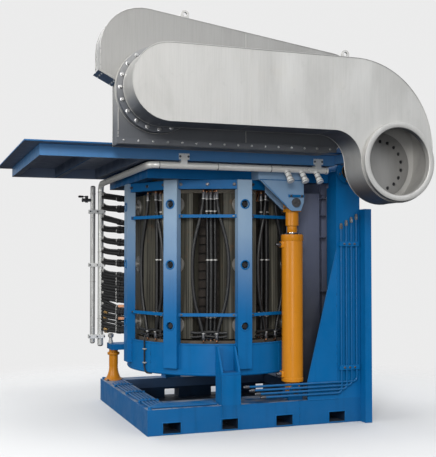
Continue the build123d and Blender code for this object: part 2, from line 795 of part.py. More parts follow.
def bracket_pins(side):
    """The rod pin's two ends, carried in the cheeks and cut short of the rod eye."""
    y = side * CYLINDER_Y
    gap = EYE_WIDTH / 2 + SIDE_PLAY
    outer = y + side * (gap + CHEEK_THICKNESS)
    return crosswise(CYLINDER_X, ROD_END_Z, outer, outer + side * 14, PIN_RADIUS + 12)


# Deck
def duct_bracket():
    """A channel from the deck frame's corner that carries the duct by its back."""
    x0, x1 = DECK_RIGHT, DECK_RIGHT + DUCT_BRACKET_WIDTH
    near, far = DUCT_BACK, FRONT - DUCT_BRACKET_GAP
    z0, z1 = DUCT_BRACKET_BOTTOM, DUCT_BRACKET_TOP
    wall = DUCT_BRACKET_WALL
    bracket = block(x0, x1, near, far, z0, z1)
    return bracket - block(x0 + wall, x1 - wall, near - 1, far - wall, z0 - 1, z1 - wall)


def deck_frame():
    z0, z1 = DECK_FRAME_BOTTOM, DECK_BOTTOM
    d = DECK_HALF_DEPTH
    frame = block(DECK_LEFT, DECK_RIGHT, -d, d, z0, z1)
    inner = (DECK_LEFT + DECK_BEAM, DECK_RIGHT - DECK_BEAM, -d + DECK_BEAM, d - DECK_BEAM)
    frame -= block(*inner, z0 - 1, z1 + 1)
    for x in (*DECK_CROSS_BEAMS, SHELL_X - DECK_HOLE - DECK_BEAM, SHELL_X + DECK_HOLE):
        frame += block(x, x + DECK_BEAM, -d + DECK_BEAM, d - DECK_BEAM, z0, z1)
    for name, side in SIDES:
        x0, x1 = SHELL_X - DECK_HOLE, SHELL_X + DECK_HOLE
        frame += block(x0, x1, side * FRAME_BEAM_IN, side * FRAME_BEAM_OUT, z0, z1)
    half = SPOUT_WIDTH / 2 + 10
    frame -= block(SHELL_X + BLOCK_RADIUS - 60, DECK_RIGHT + 1, -half, half, SPOUT_BOTTOM - 1, z1 + 1)
    return frame + duct_bracket()


def deck_plate():
    d = DECK_HALF_DEPTH + DECK_OVERHANG
    plate = block(DECK_LEFT - DECK_OVERHANG, DECK_RIGHT, -d, d, DECK_BOTTOM, DECK_TOP)
    plate -= disc_z(BLOCK_RADIUS + SEAT, DECK_BOTTOM - 1, DECK_TOP + 1)
    half = SPOUT_WIDTH / 2 + 10
    return plate - block(SHELL_X, DECK_RIGHT + 1, -half, half, DECK_BOTTOM - 1, DECK_TOP + 1)


# Hydraulic cylinders
def barrel(side):
    """The blind tube, with its foot eye and two oil ports."""
    x, z = CYLINDER_X, CYLINDER_FOOT_Z
    y = side * CYLINDER_Y
    half = FOOT_EYE_WIDTH / 2
    body = disc_z(BARREL_RADIUS, BARREL_BOTTOM, BARREL_TOP, x, y)
    body -= disc_z(BARREL_BORE, BARREL_BOTTOM + BARREL_FLOOR, BARREL_TOP + 1, x, y)
    body += block(x - FOOT_EYE_RADIUS, x + FOOT_EYE_RADIUS, y - half, y + half, z, BARREL_BOTTOM)
    body += crosswise(x, z, y - half, y + half, FOOT_EYE_RADIUS)
    body -= crosswise(x, z, y - half - 1, y + half + 1, PIN_RADIUS + PLAY)
    for port in (BARREL_BOTTOM + 70, BARREL_TOP - 95):
        body += round_bar((x - BARREL_RADIUS - 26, y, port), (x - BARREL_RADIUS + 12, y, port), 17)
    return body


def gland(side):
    y = side * CYLINDER_Y
    low = BARREL_TOP - GLAND_DEPTH
    cap = disc_z(BARREL_BORE, low, BARREL_TOP, CYLINDER_X, y)
    return cap - disc_z(ROD_RADIUS + PLAY, low - 1, BARREL_TOP + 1, CYLINDER_X, y)


def cylinder_rod(side):
    y = side * CYLINDER_Y
    rod = disc_z(ROD_RADIUS, PISTON_Z, ROD_END_BOTTOM, CYLINDER_X, y)
    return rod + disc_z(BARREL_BORE - PLAY, PISTON_Z, PISTON_Z + PISTON_DEPTH, CYLINDER_X, y)


def rod_eye(side):
    y = side * CYLINDER_Y
    half = EYE_WIDTH / 2
    sides = (CYLINDER_X - EYE_RADIUS, CYLINDER_X + EYE_RADIUS, y - half, y + half)
    stem = disc_z(EYE_RADIUS, ROD_END_BOTTOM, ROD_END_Z - STEM_DROP, CYLINDER_X, y)
    eye = block(*sides, ROD_END_Z - STEM_DROP, ROD_END_Z)
    return eye + stem + crosswise(CYLINDER_X, ROD_END_Z, y - half, y + half, EYE_RADIUS)


# Water pipes, all carried by the deck and the shell
def water_main():
    corner = HEADER_X + 30
    points = [
        (MAIN_RIGHT, MAIN_Y, MAIN_Z), (corner, MAIN_Y, MAIN_Z),
        (HEADER_X, HEADER_Y, MAIN_Z - 24), (HEADER_X, HEADER_Y, HEADER_BOTTOM),
    ]
    main = tube(points, [PIPE_BEND, PIPE_BEND], PIPE_RADIUS)
    for nozzle in water_nozzles():
        main -= nozzle
    return main + round_bar((MAIN_RIGHT, MAIN_Y, MAIN_Z), (MAIN_RIGHT + 16, MAIN_Y, MAIN_Z), PIPE_RADIUS + 5)


def water_nozzles():
    lean = Vector(0.18, -0.45, -0.87).normalized()
    nozzles = []
    for x in NOZZLE_X:
        start = Vector(x, MAIN_Y, MAIN_Z)
        end = start + lean * (PIPE_RADIUS + NOZZLE_LENGTH)
        nozzle = round_bar(tuple(start), tuple(end), NOZZLE_RADIUS)
        nozzle += round_bar(tuple(end - lean * 26), tuple(end), NOZZLE_RADIUS + 6)
        nozzles.append(nozzle)
    return nozzles


def return_header():
    points = [(RETURN_X, HEADER_Y, HEADER_BOTTOM + 30), (RETURN_X, HEADER_Y, MAIN_Z - 60)]
    return tube(points, [], RETURN_RADIUS)


def header_ties():
    """Clamps that hold the two upright headers together."""
    ties = []
    y0, y1 = HEADER_Y - TIE_HALF, HEADER_Y + TIE_HALF
    for z in TIE_LEVELS:
        tie = block(RETURN_X - TIE_HALF, HEADER_X + TIE_HALF, y0, y1, z - 20, z + 20)
        tie -= disc_z(PIPE_RADIUS, z - 30, z + 30, HEADER_X, HEADER_Y)
        tie -= disc_z(RETURN_RADIUS, z - 30, z + 30, RETURN_X, HEADER_Y)
        ties.append(tie)
    return group(ties)


def clear_level(z):
    """A hose's height where it crosses the cage, moved off the ring and the rails."""
    margin = HOSE_RADIUS + 12
    bands = [(CAGE_TOP - RING_HEIGHT, CAGE_TOP)]
    for level in RAIL_LEVELS:
        bands.append((level - RAIL_HEIGHT / 2, level + RAIL_HEIGHT / 2))
    for low, high in bands:
        if low - margin < z < high + margin:
            z = low - margin
    return z


def ladder_hoses():
    """Rows of cooling hoses from the upright header to the coil, in at one window."""
    hoses = []
    header = disc_z(PIPE_RADIUS, HEADER_BOTTOM, MAIN_Z, HEADER_X, HEADER_Y)
    for i in range(LADDER_ROWS):
        z = LADDER_TOP - i * LADDER_PITCH
        drop = 26 + 10 * ((i * 5) % 3)
        level = clear_level(z - drop)
        start = (HEADER_X + PIPE_RADIUS * 0.5, HEADER_Y - PIPE_RADIUS * 0.87, z)
        end = around(LADDER_END, TERMINAL_WINDOW, level)
        first = (start[0] + 45, start[1] - 90, z - drop * 0.5)
        second = (end[0] - 110, end[1] + 160, level)
        hoses.append(hose([start, first, second, end], HOSE_RADIUS) - header)
    return group(hoses)


def window_routes(angle):
    """The paths and radii of the water hoses that stand in one window between two columns."""
    top, low = YOKE_TOP - 10, YOKE_BOTTOM + 10
    middle = (top + low) / 2
    routes = []
    for t, inset in STRAIGHT_HOSES:
        r = CAGE_RADIUS - inset
        sway = t + STRAIGHT_SWAY
        path = [around(r, angle, top, t), around(r, angle, middle, sway), around(r, angle, low, t)]
        routes.append((path, HOSE_RADIUS))
    r = CAGE_RADIUS - BOW_INSET
    for hand, reach in BOW_REACHES:
        t0 = BOW_MIDDLE + hand * BOW_ROOT
        bow = [
            (t0, top), (t0 + hand * BOW_START, top - BOW_DROPS[0]),
            (t0 + hand * reach * 0.75, top - BOW_DROPS[1]), (t0 + hand * reach, top - BOW_DROPS[2]),
            (t0 + hand * reach * 0.85, low + BOW_RISES[0]),
            (t0 + hand * BOW_FINISH, low + BOW_RISES[1]), (t0, low),
        ]
        routes.append(([around(r, angle, z, t) for t, z in bow], BOW_HOSE_RADIUS))
    return routes


def window_hoses(angle):
    return group([hose(path, radius) for path, radius in window_routes(angle)])


def hose_combs():
    """Plates on the rails' inner faces that the window hoses pass through."""
    combs = []
    reach = flat_radius() - RAIL_INSET - RAIL_THICKNESS
    in0, in1, t0, t1 = COMB_INNER
    wide_in, wide0, wide1 = COMB_OUTER
    for angle in HOSE_WINDOWS:
        holes = [hose(path, radius + SEAT) for path, radius in window_routes(angle)]
        for level in RAIL_LEVELS:
            low, high = level - COMB_THICKNESS / 2, level + COMB_THICKNESS / 2
            comb = block(CAGE_RADIUS - in0, CAGE_RADIUS - in1, t0, t1, low, high)
            comb += block(CAGE_RADIUS - wide_in, reach, wide0, wide1, low, high)
            comb = turned(comb, angle)
            for hole in holes:
                comb -= hole
            combs.append(comb)
    return group(combs)


def valve_body():
    x = RETURN_X - VALVE_REACH
    stub = round_bar((RETURN_X, HEADER_Y, VALVE_Z), (x - 30, HEADER_Y, VALVE_Z), HOSE_RADIUS)
    stub += round_bar((x + 14, HEADER_Y, VALVE_Z), (x - 14, HEADER_Y, VALVE_Z), HOSE_RADIUS + 10)
    stub += disc_z(VALVE_STEM, VALVE_Z, VALVE_Z + 42, x, HEADER_Y)
    return stub - disc_z(RETURN_RADIUS, VALVE_Z - 40, VALVE_Z + 40, RETURN_X, HEADER_Y)


def valve_lever():
    x = RETURN_X - VALVE_REACH
    hub = disc_z(VALVE_STEM * 2, VALVE_Z + 28, VALVE_Z + 46, x, HEADER_Y)
    hub -= disc_z(VALVE_STEM + PLAY, VALVE_Z + 20, VALVE_Z + 60, x, HEADER_Y)
    half = VALVE_STEM
    return hub + block(x - VALVE_LEVER, x - 14, HEADER_Y - half, HEADER_Y + half, VALVE_Z + 32, VALVE_Z + 42)


def pipe_clips():
    clips = []
    face = -DECK_HALF_DEPTH
    for x in CLIP_PLACES:
        plate = block(x - 48, x + 48, face, face - 10, DECK_FRAME_BOTTOM + 8, DECK_FRAME_BOTTOM + 62)
        strap = block(x - 30, x + 30, face + 60, face - 10, MAIN_Z, DECK_FRAME_BOTTOM + 8)
        clip = plate + strap
        clip -= round_bar((x - 60, MAIN_Y, MAIN_Z), (x + 60, MAIN_Y, MAIN_Z), PIPE_RADIUS)
        clip -= block(x - 60, x + 60, face, face + 70, DECK_FRAME_BOTTOM, DECK_FRAME_BOTTOM + 40)
        clips.append(clip)
    return group(clips)


# Flat fume duct
def duct_outline(inset):
    """The duct's side outline, drawn in by a wall's thickness."""
    top = DUCT_TOP - inset
    low = DUCT_BOTTOM + inset
    end = DUCT_HEIGHT / 2 - inset
    arm = DUCT_ARM_RADIUS - inset
    bend = DUCT_BEND_RADIUS - inset
    bend_x = TILT_X + DUCT_ARM_RADIUS - DUCT_BEND_RADIUS
    bend_z = DUCT_TOP - DUCT_BEND_RADIUS
    inner = DUCT_BOTTOM - TILT_Z
    inner_x = TILT_X - DUCT_ARM_RADIUS - inner
    small = inner + inset
    q = math.sqrt(0.5)
    return make_face([
        Line((DUCT_END_X, top), (bend_x, top)),
        ThreePointArc((bend_x, top), (bend_x + bend * q, bend_z + bend * q), (bend_x + bend, bend_z)),
        Line((bend_x + bend, bend_z), (TILT_X + arm, TILT_Z)),
        ThreePointArc((TILT_X + arm, TILT_Z), (TILT_X, TILT_Z - arm), (TILT_X - arm, TILT_Z)),
        ThreePointArc((TILT_X - arm, TILT_Z), (inner_x + small * q, TILT_Z + small * q), (inner_x, low)),
        Line((inner_x, low), (DUCT_END_X, low)),
        ThreePointArc((DUCT_END_X, low), (DUCT_END_X - end, DUCT_END_Z), (DUCT_END_X, top)),
    ])


def fume_duct():
    shell = plate_xz(duct_outline(0), DUCT_FRONT, DUCT_BACK)
    shell -= plate_xz(duct_outline(DUCT_SHEET), DUCT_FRONT + DUCT_SHEET, DUCT_BACK - DUCT_SHEET)
    shell -= crosswise(TILT_X, TILT_Z, DUCT_FRONT - 1, DUCT_FRONT + 50, OUTLET_BORE)
    opening = COLLAR_RADIUS - DUCT_SHEET
    return shell - crosswise(DUCT_END_X, DUCT_END_Z, DUCT_BACK - 50, DUCT_BACK + 1, opening)


def outlet_ring():
    y0, y1 = DUCT_FRONT - OUTLET_REACH, DUCT_FRONT
    ring = crosswise(TILT_X, TILT_Z, y0, y1, OUTLET_RADIUS)
    return ring - crosswise(TILT_X, TILT_Z, y0 - 1, y1 + 1, OUTLET_BORE)


def outlet_flange():
    """The flange behind the outlet, with its ring of bolt holes."""
    y0, y1 = DUCT_BACK - DUCT_SHEET - FLANGE_THICKNESS, DUCT_BACK - DUCT_SHEET
    flange = crosswise(TILT_X, TILT_Z, y0, y1, OUTLET_BORE)
    for i in range(FLANGE_HOLES):
        a = math.radians((i + 0.5) * 360.0 / FLANGE_HOLES)
        x = TILT_X + FLANGE_CIRCLE * math.cos(a)
        z = TILT_Z + FLANGE_CIRCLE * math.sin(a)
        flange -= crosswise(x, z, y0 - 1, y1 + 1, FLANGE_HOLE)
    return flange


def duct_collar():
    """The duct's round end, with a fixed flange and the spigot that the hood turns on."""
    x, z = DUCT_END_X, DUCT_END_Z
    collar = crosswise(x, z, DUCT_BACK, HOOD_FRONT - 2, COLLAR_RADIUS)
    collar += crosswise(x, z, SWIVEL_FRONT, SWIVEL_FRONT + SWIVEL_THICKNESS, SWIVEL_RADIUS)
    return collar - crosswise(x, z, DUCT_BACK - 1, HOOD_FRONT + 20, COLLAR_RADIUS - DUCT_SHEET)


def swivel_ring():
    """The hood's half of the turning joint, round the collar's spigot."""
    y0 = SWIVEL_FRONT + SWIVEL_THICKNESS + 1
    ring = crosswise(DUCT_END_X, DUCT_END_Z, y0, HOOD_FRONT, SWIVEL_RADIUS)
    return ring - crosswise(DUCT_END_X, DUCT_END_Z, y0 - 1, HOOD_FRONT + 1, COLLAR_RADIUS + PLAY)


def swivel_bolts():
    bolts = []
    reach = SWIVEL_RADIUS - SWIVEL_BOLT_INSET
    for i in range(SWIVEL_BOLTS):
        a = math.radians(i * 360.0 / SWIVEL_BOLTS)
        x = DUCT_END_X + reach * math.cos(a)
        z = DUCT_END_Z + reach * math.sin(a)
        bolts.append(crosswise(x, z, SWIVEL_FRONT, SWIVEL_FRONT - 14, SWIVEL_BOLT))
    return group(bolts)


def lug(x, y, z, lean):
    half = LUG_SHEET / 2
    eye = round_bar((0, -half, LUG_RISE), (0, half, LUG_RISE), LUG_HALF_WIDTH)
    eye += block(-LUG_HALF_WIDTH, LUG_HALF_WIDTH, -half, half, 0, LUG_RISE)
    eye -= round_bar((0, -half - 1, LUG_RISE), (0, half + 1, LUG_RISE), LUG_EYE)
    return Pos(x, y, z) * Rot(0, lean, 0) * eye


# Hood
def hood_outline(inset):
    """The flat box's side outline, drawn in by a wall's thickness."""
    fall = math.tan(math.radians(HOOD_FALL))
    right_top = HOOD_CREST - (HOOD_RIGHT - HOOD_LEFT) * fall
    face = outline([
        (HOOD_FOOT_LEFT, HOOD_BOTTOM), (HOOD_FOOT_LEFT, HOOD_LIP[0]), (HOOD_LEFT, HOOD_LIP[1]),
        (HOOD_LEFT, HOOD_CREST), (HOOD_RIGHT, right_top), (HOOD_FOOT_RIGHT, HOOD_BOTTOM),
    ])
    face = fillet(face.vertices().sort_by(Axis.Y)[-1], HOOD_CORNER)
    face = fillet(face.vertices().sort_by(Axis.X)[-1], HOOD_RIGHT_CORNER)
    low = face.vertices().sort_by(Axis.Y)[:2]
    face = fillet(low.sort_by(Axis.X)[-1], HOOD_FOOT_CORNER)
    return offset(face, amount=-inset) if inset else face


def hood_box():
    """The flat box, open to the canopy behind it and to the duct in front."""
    shell = plate_xz(hood_outline(0), HOOD_FRONT, HOOD_BACK)
    shell -= plate_xz(hood_outline(HOOD_SHEET), HOOD_FRONT + HOOD_SHEET, HOOD_BACK - HOOD_SHEET)
    shell -= crosswise(DUCT_END_X, DUCT_END_Z, HOOD_FRONT - 1, HOOD_FRONT + 40, COLLAR_RADIUS + PLAY)
    sides = (CANOPY_LEFT + CANOPY_MARGIN, CANOPY_RIGHT - CANOPY_MARGIN)
    window = block(*sides, HOOD_BACK - 40, HOOD_BACK + 1, DECK_TOP + 120, CANOPY_TOP - CANOPY_MARGIN)
    ring = crosswise(DUCT_END_X, DUCT_END_Z, HOOD_FRONT - 60, HOOD_FRONT, SWIVEL_RADIUS)
    return shell - window + (hood_lip() - ring) + hood_rim()


def canopy():
    """The hood over the furnace's mouth, open below and into the flat box."""
    low = DECK_TOP + SEAT
    shell = block(CANOPY_LEFT, CANOPY_RIGHT, HOOD_BACK, CANOPY_REAR, low, CANOPY_TOP)
    t = CANOPY_SHEET
    sides = (CANOPY_LEFT + t, CANOPY_RIGHT - t)
    return shell - block(*sides, HOOD_BACK - 1, CANOPY_REAR - t, low - 1, CANOPY_TOP - t)


def hood_lip():
    """The flat strip that closes the box's slanted lower corner."""
    rise = HOOD_LIP[0] - HOOD_LIP[1]
    length = math.hypot(HOOD_FOOT_LEFT - HOOD_LEFT, rise)
    slope = math.degrees(math.atan2(rise, HOOD_FOOT_LEFT - HOOD_LEFT))
    strip = block(-16, length, HOOD_FRONT - 8, HOOD_BACK + 8, -HOOD_LIP_THICKNESS, 0)
    return Pos(HOOD_LEFT, 0, HOOD_LIP[1]) * Rot(0, -slope, 0) * strip


def hood_rim():
    """The flange along the box's foot."""
    foot = (HOOD_FOOT_LEFT - 20, HOOD_FOOT_RIGHT - 40)
    return block(*foot, HOOD_FRONT - HOOD_RIM_REACH, HOOD_FRONT, HOOD_BOTTOM, HOOD_BOTTOM + HOOD_RIM_HEIGHT)


def hood_lug():
    crest = HOOD_CREST - (LUG_AT_HOOD - HOOD_LEFT) * math.tan(math.radians(HOOD_FALL))
    return lug(LUG_AT_HOOD, HOOD_FRONT + HOOD_DEPTH / 2, crest, HOOD_FALL)


def duct_lug():
    return lug(LUG_AT_DUCT, DUCT_FRONT + DUCT_DEPTH / 2, DUCT_TOP, 0)


def both(maker):
    """One maker's front and rear pieces, as separate solids."""
    return group([maker(side) for name, side in SIDES])


def build():
    columns = cage_columns()
    save(skid_frame(), "skid_frame")
    save(both(stanchion), "stanchions")
    save(both(end_post), "end_posts")
    save(both(bearing_housing), "bearing_housings")
    save(both(bearing_bush), "bearing_bushes")
    save(both(rest_block), "rest_blocks")
    save(both(foot_lugs), "cylinder_lugs")
    save(both(foot_pin), "cylinder_foot_pins")
    save(both(body_foot), "body_feet")
    save(both(cylinder_bracket), "cylinder_brackets")
    save(both(bracket_pins), "bracket_pins")
    for name, side in SIDES:
        save(barrel(side), f"{name}_barrel")
        save(gland(side), f"{name}_gland")
        save(cylinder_rod(side), f"{name}_rod")
        save(rod_eye(side), f"{name}_rod_eye")
        save(trunnion(side), f"{name}_trunnion")
    save(rest_post(), "rest_post")
    save(group([skid_pipes(), riser_pipes()]), "oil_pipes")
    save(pipe_clamps(), "oil_pipe_clamps")
    save(group(columns), "cage_columns")
    save(shell_drum(columns), "shell_drum")
    save(top_ring(columns), "top_ring")
    save(side_rails(columns), "side_rails")
    save(jack_bolts(), "jack_bolts")
    save(yokes(), "yokes")
    save(coil(), "coil")
    save(coil_terminals(), "coil_terminals")
    save(lining(), "crucible_lining")
    save(coil_grout(), "coil_grout")
    save(bottom_block(), "bottom_block")
    save(top_block(), "top_block")
    save(spout(), "pour_spout")
    save(rest_arm(), "rest_arm")
    save(side_shield(), "side_shield")
    save(tilting_frame(), "tilting_frame")
    save(deck_frame(), "deck_frame")
    save(deck_plate(), "deck_plate")
    save(water_main(), "water_main")
    save(group(water_nozzles()), "water_nozzles")
    save(return_header(), "return_header")
    save(group([header_ties(), pipe_clips(), hose_combs()]), "pipe_clips")
    save(ladder_hoses(), "ladder_hoses")
    save(group([window_hoses(angle) for angle in HOSE_WINDOWS]), "window_hoses")
    save(valve_body(), "valve_body")
    save(valve_lever(), "valve_lever")
    save(fume_duct(), "fume_duct")
    save(outlet_ring(), "outlet_ring")
    save(outlet_flange(), "outlet_flange")
    save(duct_collar(), "duct_collar")
    save(swivel_ring(), "swivel_ring")
    save(swivel_bolts(), "swivel_bolts")
    save(hood_box(), "hood_box")
    save(canopy(), "canopy")
    save(hood_lug(), "hood_lug")
    save(duct_lug(), "duct_lug")


build()
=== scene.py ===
import json
import math
import random
import bmesh
import bpy
from mathutils import Matrix, Vector


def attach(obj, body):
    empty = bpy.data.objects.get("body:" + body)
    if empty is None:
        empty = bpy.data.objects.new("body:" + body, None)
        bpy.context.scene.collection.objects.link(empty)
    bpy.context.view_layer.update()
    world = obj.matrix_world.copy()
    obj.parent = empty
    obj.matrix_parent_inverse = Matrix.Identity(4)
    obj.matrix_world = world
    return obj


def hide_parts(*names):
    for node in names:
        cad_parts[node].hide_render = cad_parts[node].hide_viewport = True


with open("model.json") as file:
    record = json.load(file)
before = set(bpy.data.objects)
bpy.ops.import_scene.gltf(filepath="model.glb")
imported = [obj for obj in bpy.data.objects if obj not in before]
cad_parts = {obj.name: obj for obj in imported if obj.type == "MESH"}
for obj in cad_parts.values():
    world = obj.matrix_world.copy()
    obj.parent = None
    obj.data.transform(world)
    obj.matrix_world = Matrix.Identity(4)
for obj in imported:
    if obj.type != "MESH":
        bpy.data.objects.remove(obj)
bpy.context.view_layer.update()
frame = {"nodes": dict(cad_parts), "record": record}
nodes = frame["nodes"]

# Directions
UP = (0, 0, 1)
DOWN = (0, 0, -1)
LEFT = (-1, 0, 0)
RIGHT = (1, 0, 0)
FRONT = (0, -1, 0)
BACK = (0, 1, 0)

# Driving places, in metres, that match the part
TILT = (0.935, 2.389)
SHELL_X = -0.095
DUCT_END = (-1.095, 2.952)
CAGE_RADIUS = 0.914
COLUMNS = 8
COLUMN_HALF = 0.07
RAIL_LEVELS = (1.03, 1.95)
JACK_LEVELS = (0.928, 1.496, 2.061)
HOSE_WINDOWS = (-157.5, -112.5, -67.5, 112.5)
HOSE_ENDS = (2.16, 0.81)
BOW_REACH = 0.805
LADDER_HOSES = 11
LADDER_PITCH = 0.118
SKID_HALF = 1.01
SKID_HALF_LENGTH = 1.05
SKID_TOP = 0.228
POCKET_MIDDLE = -0.015
POCKET_PITCH = 0.542
POCKET_HALF = 0.082
POCKET_LOW = 0.014
POCKET_HIGH = 0.106
POCKET_RIM = 0.010
REST_LEFT = -0.358
REST_RIGHT = -0.174
POST_REST = (-0.930, 0.900)
STANCHION_TOP = 2.235
RISER_X = 1.005
OIL_PITCH = 0.054
GUSSET = (0.495, 0.80)
CYLINDER = (0.395, 0.885)
CYLINDER_FOOT = 0.312
BARREL_RADIUS = 0.100
BARREL_BOTTOM = 0.397
BARREL_TOP = 1.781
SHIELD_RADIUS = 1.120
DECK_LEFT = -2.006
DECK_HALF = 1.080
PLATE_LOW = 2.5245
PLATE_TOP = 2.537
MAIN_RADIUS = 0.031
MAIN_Y = -1.060
MAIN_Z = 2.382
HEADER = (-1.078, 0.892)
RETURN_X = -1.165
RETURN_RADIUS = 0.027
VALVE_Z = 2.180
DUCT_FRONT = -1.890
DUCT_BACK = -1.580
DUCT_TOP = 3.264
DUCT_HEIGHT = 0.624
DUCT_BOTTOM = DUCT_TOP - DUCT_HEIGHT
DUCT_ARM = 0.350
DUCT_BEND = 0.750
SWIVEL_RADIUS = 0.358
SWIVEL_FRONT = -1.545
HOOD_FRONT = -1.460
HOOD_BACK = -1.250
HOOD_LEFT = -1.570
HOOD_FOOT_LEFT = -1.422
HOOD_BOTTOM = 2.500
HOOD_LIP = (3.022, 3.098)
HOOD_CREST = 3.692
HOOD_RIGHT = 0.760
HOOD_FOOT_RIGHT = 0.600
HOOD_FALL = 8.0
CANOPY = (-0.650, 0.445, -1.250, 0.640)
CANOPY_TOP = 3.180
CANOPY_LOW = 2.5375

# Sizes, in metres, that only the scene has
GRAZE = 0.0005
# Height below which the pit's painted shade is darkest
PIT_SHADE_LEVEL = 0.1275
FIN_HALF = 0.003
SHIELD_JOINTS = (1.761, 1.978, 2.145)
RIB_REACH = 1.172
SKIRT_TOP = 2.396
CABLE_ANGLE = -157
FLANGE = 0.006
BRANCH_REACH = 0.625
BRANCH_TOP = 2.11
PORTS = (0.467, 1.686)
STEM_FOOT = 1.7995

# Finer settings: a weld ripple's length in radii, sharp edges in degrees, bevel samples
WELD_STEP = 1.6
SHARP = 35
BEVEL_SAMPLES = 4

# Colours that more than one finish has
BLUE = (0.0, 0.112, 0.315)
STEEL = (0.50, 0.493, 0.475)
# Painted shade for undersides and inner faces
UNDERSIDE_SHADE = (0.15, 0.175, 0.235)
# Painted shade for the sheet metal's downward and low faces
SHADE_DARK = (0.05, 0.06, 0.08)

# Camera
EYE = (-2.9681, -8.2716, 1.6)
YAW = 0.3404
PITCH = 0.0295
LENS = 70.25

# Light
PAPER = 0.835
FLOOR_RADIUS = 7.5


# Node trees
class Tree:
    """Short calls for building one material's node tree."""

    def __init__(self, of):
        """Of a new material by that name, or of a material that has its tree already."""
        self.material = bpy.data.materials.new(of) if isinstance(of, str) else of
        self.material.use_nodes = True
        self.tree = self.material.node_tree
        self.shader = self.tree.nodes["Principled BSDF"]
        self.place = self.tree.nodes.new("ShaderNodeTexCoord").outputs["Object"]

    def join(self, source, target):
        self.tree.links.new(source, target)

    def put(self, socket, value):
        if isinstance(value, bpy.types.NodeSocket):
            self.join(value, socket)
        else:
            socket.default_value = value

    def add(self, kind, inputs):
        """A new node with some of its inputs set or joined."""
        made = self.tree.nodes.new("ShaderNode" + kind)
        for name, value in inputs.items():
            self.put(made.inputs[name], value)
        return made

    def scaled(self, scale, turn=(0, 0, 0)):
        """The object's own coordinates, stretched."""
        made = self.add("Mapping", {"Scale": scale, "Rotation": turn, "Vector": self.place})
        return made.outputs["Vector"]

    def noise(self, scale, detail=3.0, rough=0.55, vector=None, twist=0.0):
        made = self.add("TexNoise", {"Scale": scale, "Detail": detail, "Vector": vector or self.place})
        self.put(made.inputs["Roughness"], rough)
        self.put(made.inputs["Distortion"], twist)
        return made.outputs["Fac"]

    def cells(self, scale, vector=None):
        return self.add("TexVoronoi", {"Scale": scale, "Vector": vector or self.place}).outputs["Distance"]

    def bands(self, scale, direction="X", vector=None):
        made = self.add("TexWave", {"Scale": scale, "Distortion": 0.0, "Vector": vector or self.place})
        made.bands_direction = direction
        return made.outputs["Fac"]

    def ramp(self, source, low, high, from_value=0.0, to_value=1.0):
        """A value eased from one to another while the source goes from low to high."""
        ends = {"From Min": low, "From Max": high, "To Min": from_value, "To Max": to_value}
        made = self.add("MapRange", {"Value": source, **ends})
        made.interpolation_type = "SMOOTHSTEP"
        return made.outputs["Result"]

    def times(self, a, b, kind="MULTIPLY"):
        made = self.add("Math", {0: a, 1: b})
        made.operation = kind
        return made.outputs[0]

    def mix(self, fac, a, b, kind="MIX"):
        """Two colours mixed, each a socket or a triple."""
        made = self.tree.nodes.new("ShaderNodeMix")
        made.data_type = "RGBA"
        made.blend_type = kind
        self.put(made.inputs["Factor"], fac)
        self.put(made.inputs["A"], a if isinstance(a, bpy.types.NodeSocket) else (*a, 1))
        self.put(made.inputs["B"], b if isinstance(b, bpy.types.NodeSocket) else (*b, 1))
        return made.outputs["Result"]

    def upward(self, low, high):
        """One on faces that look up, falling to zero on those that don't."""
        return self.ramp(self.facing("Z"), low, high)

    def downward(self, low, high):
        """One on faces that look down, falling to zero on those that don't."""
        return self.ramp(self.facing("Z"), -high, -low, 1.0, 0.0)

    def facing(self, axis):
        normal = self.add("TexCoord", {}).outputs["Normal"]
        return self.add("SeparateXYZ", {0: normal}).outputs[axis]

    def along(self, axis):
        """The object's own coordinate along one axis."""
        return self.add("SeparateXYZ", {0: self.place}).outputs[axis]

    def within(self, axis, reach):
        """One where the coordinate stays within a reach of zero, either way."""
        return self.times(self.times(self.along(axis), 0.0, "ABSOLUTE"), reach, "LESS_THAN")

    def recolour(self, fac, colour):
        """The base colour that the tree has, mixed towards another."""
        base = self.shader.inputs["Base Color"]
        self.put(base, self.mix(fac, base.links[0].from_socket, colour))

    def surface(self, colour, rough, metal=0.0):
        self.put(self.shader.inputs["Base Color"], colour)
        self.put(self.shader.inputs["Roughness"], rough)
        self.shader.inputs["Metallic"].default_value = metal

    def relief(self, source, strength, distance=0.002, edge=0.0):
        """Bump from a value, over edges rounded by a small radius."""
        bump = self.add("Bump", {"Strength": strength, "Distance": distance, "Height": source})
        if edge:
            bevel = self.add("Bevel", {"Radius": edge})
            bevel.samples = BEVEL_SAMPLES
            self.join(bevel.outputs["Normal"], bump.inputs["Normal"])
        self.join(bump.outputs["Normal"], self.shader.inputs["Normal"])


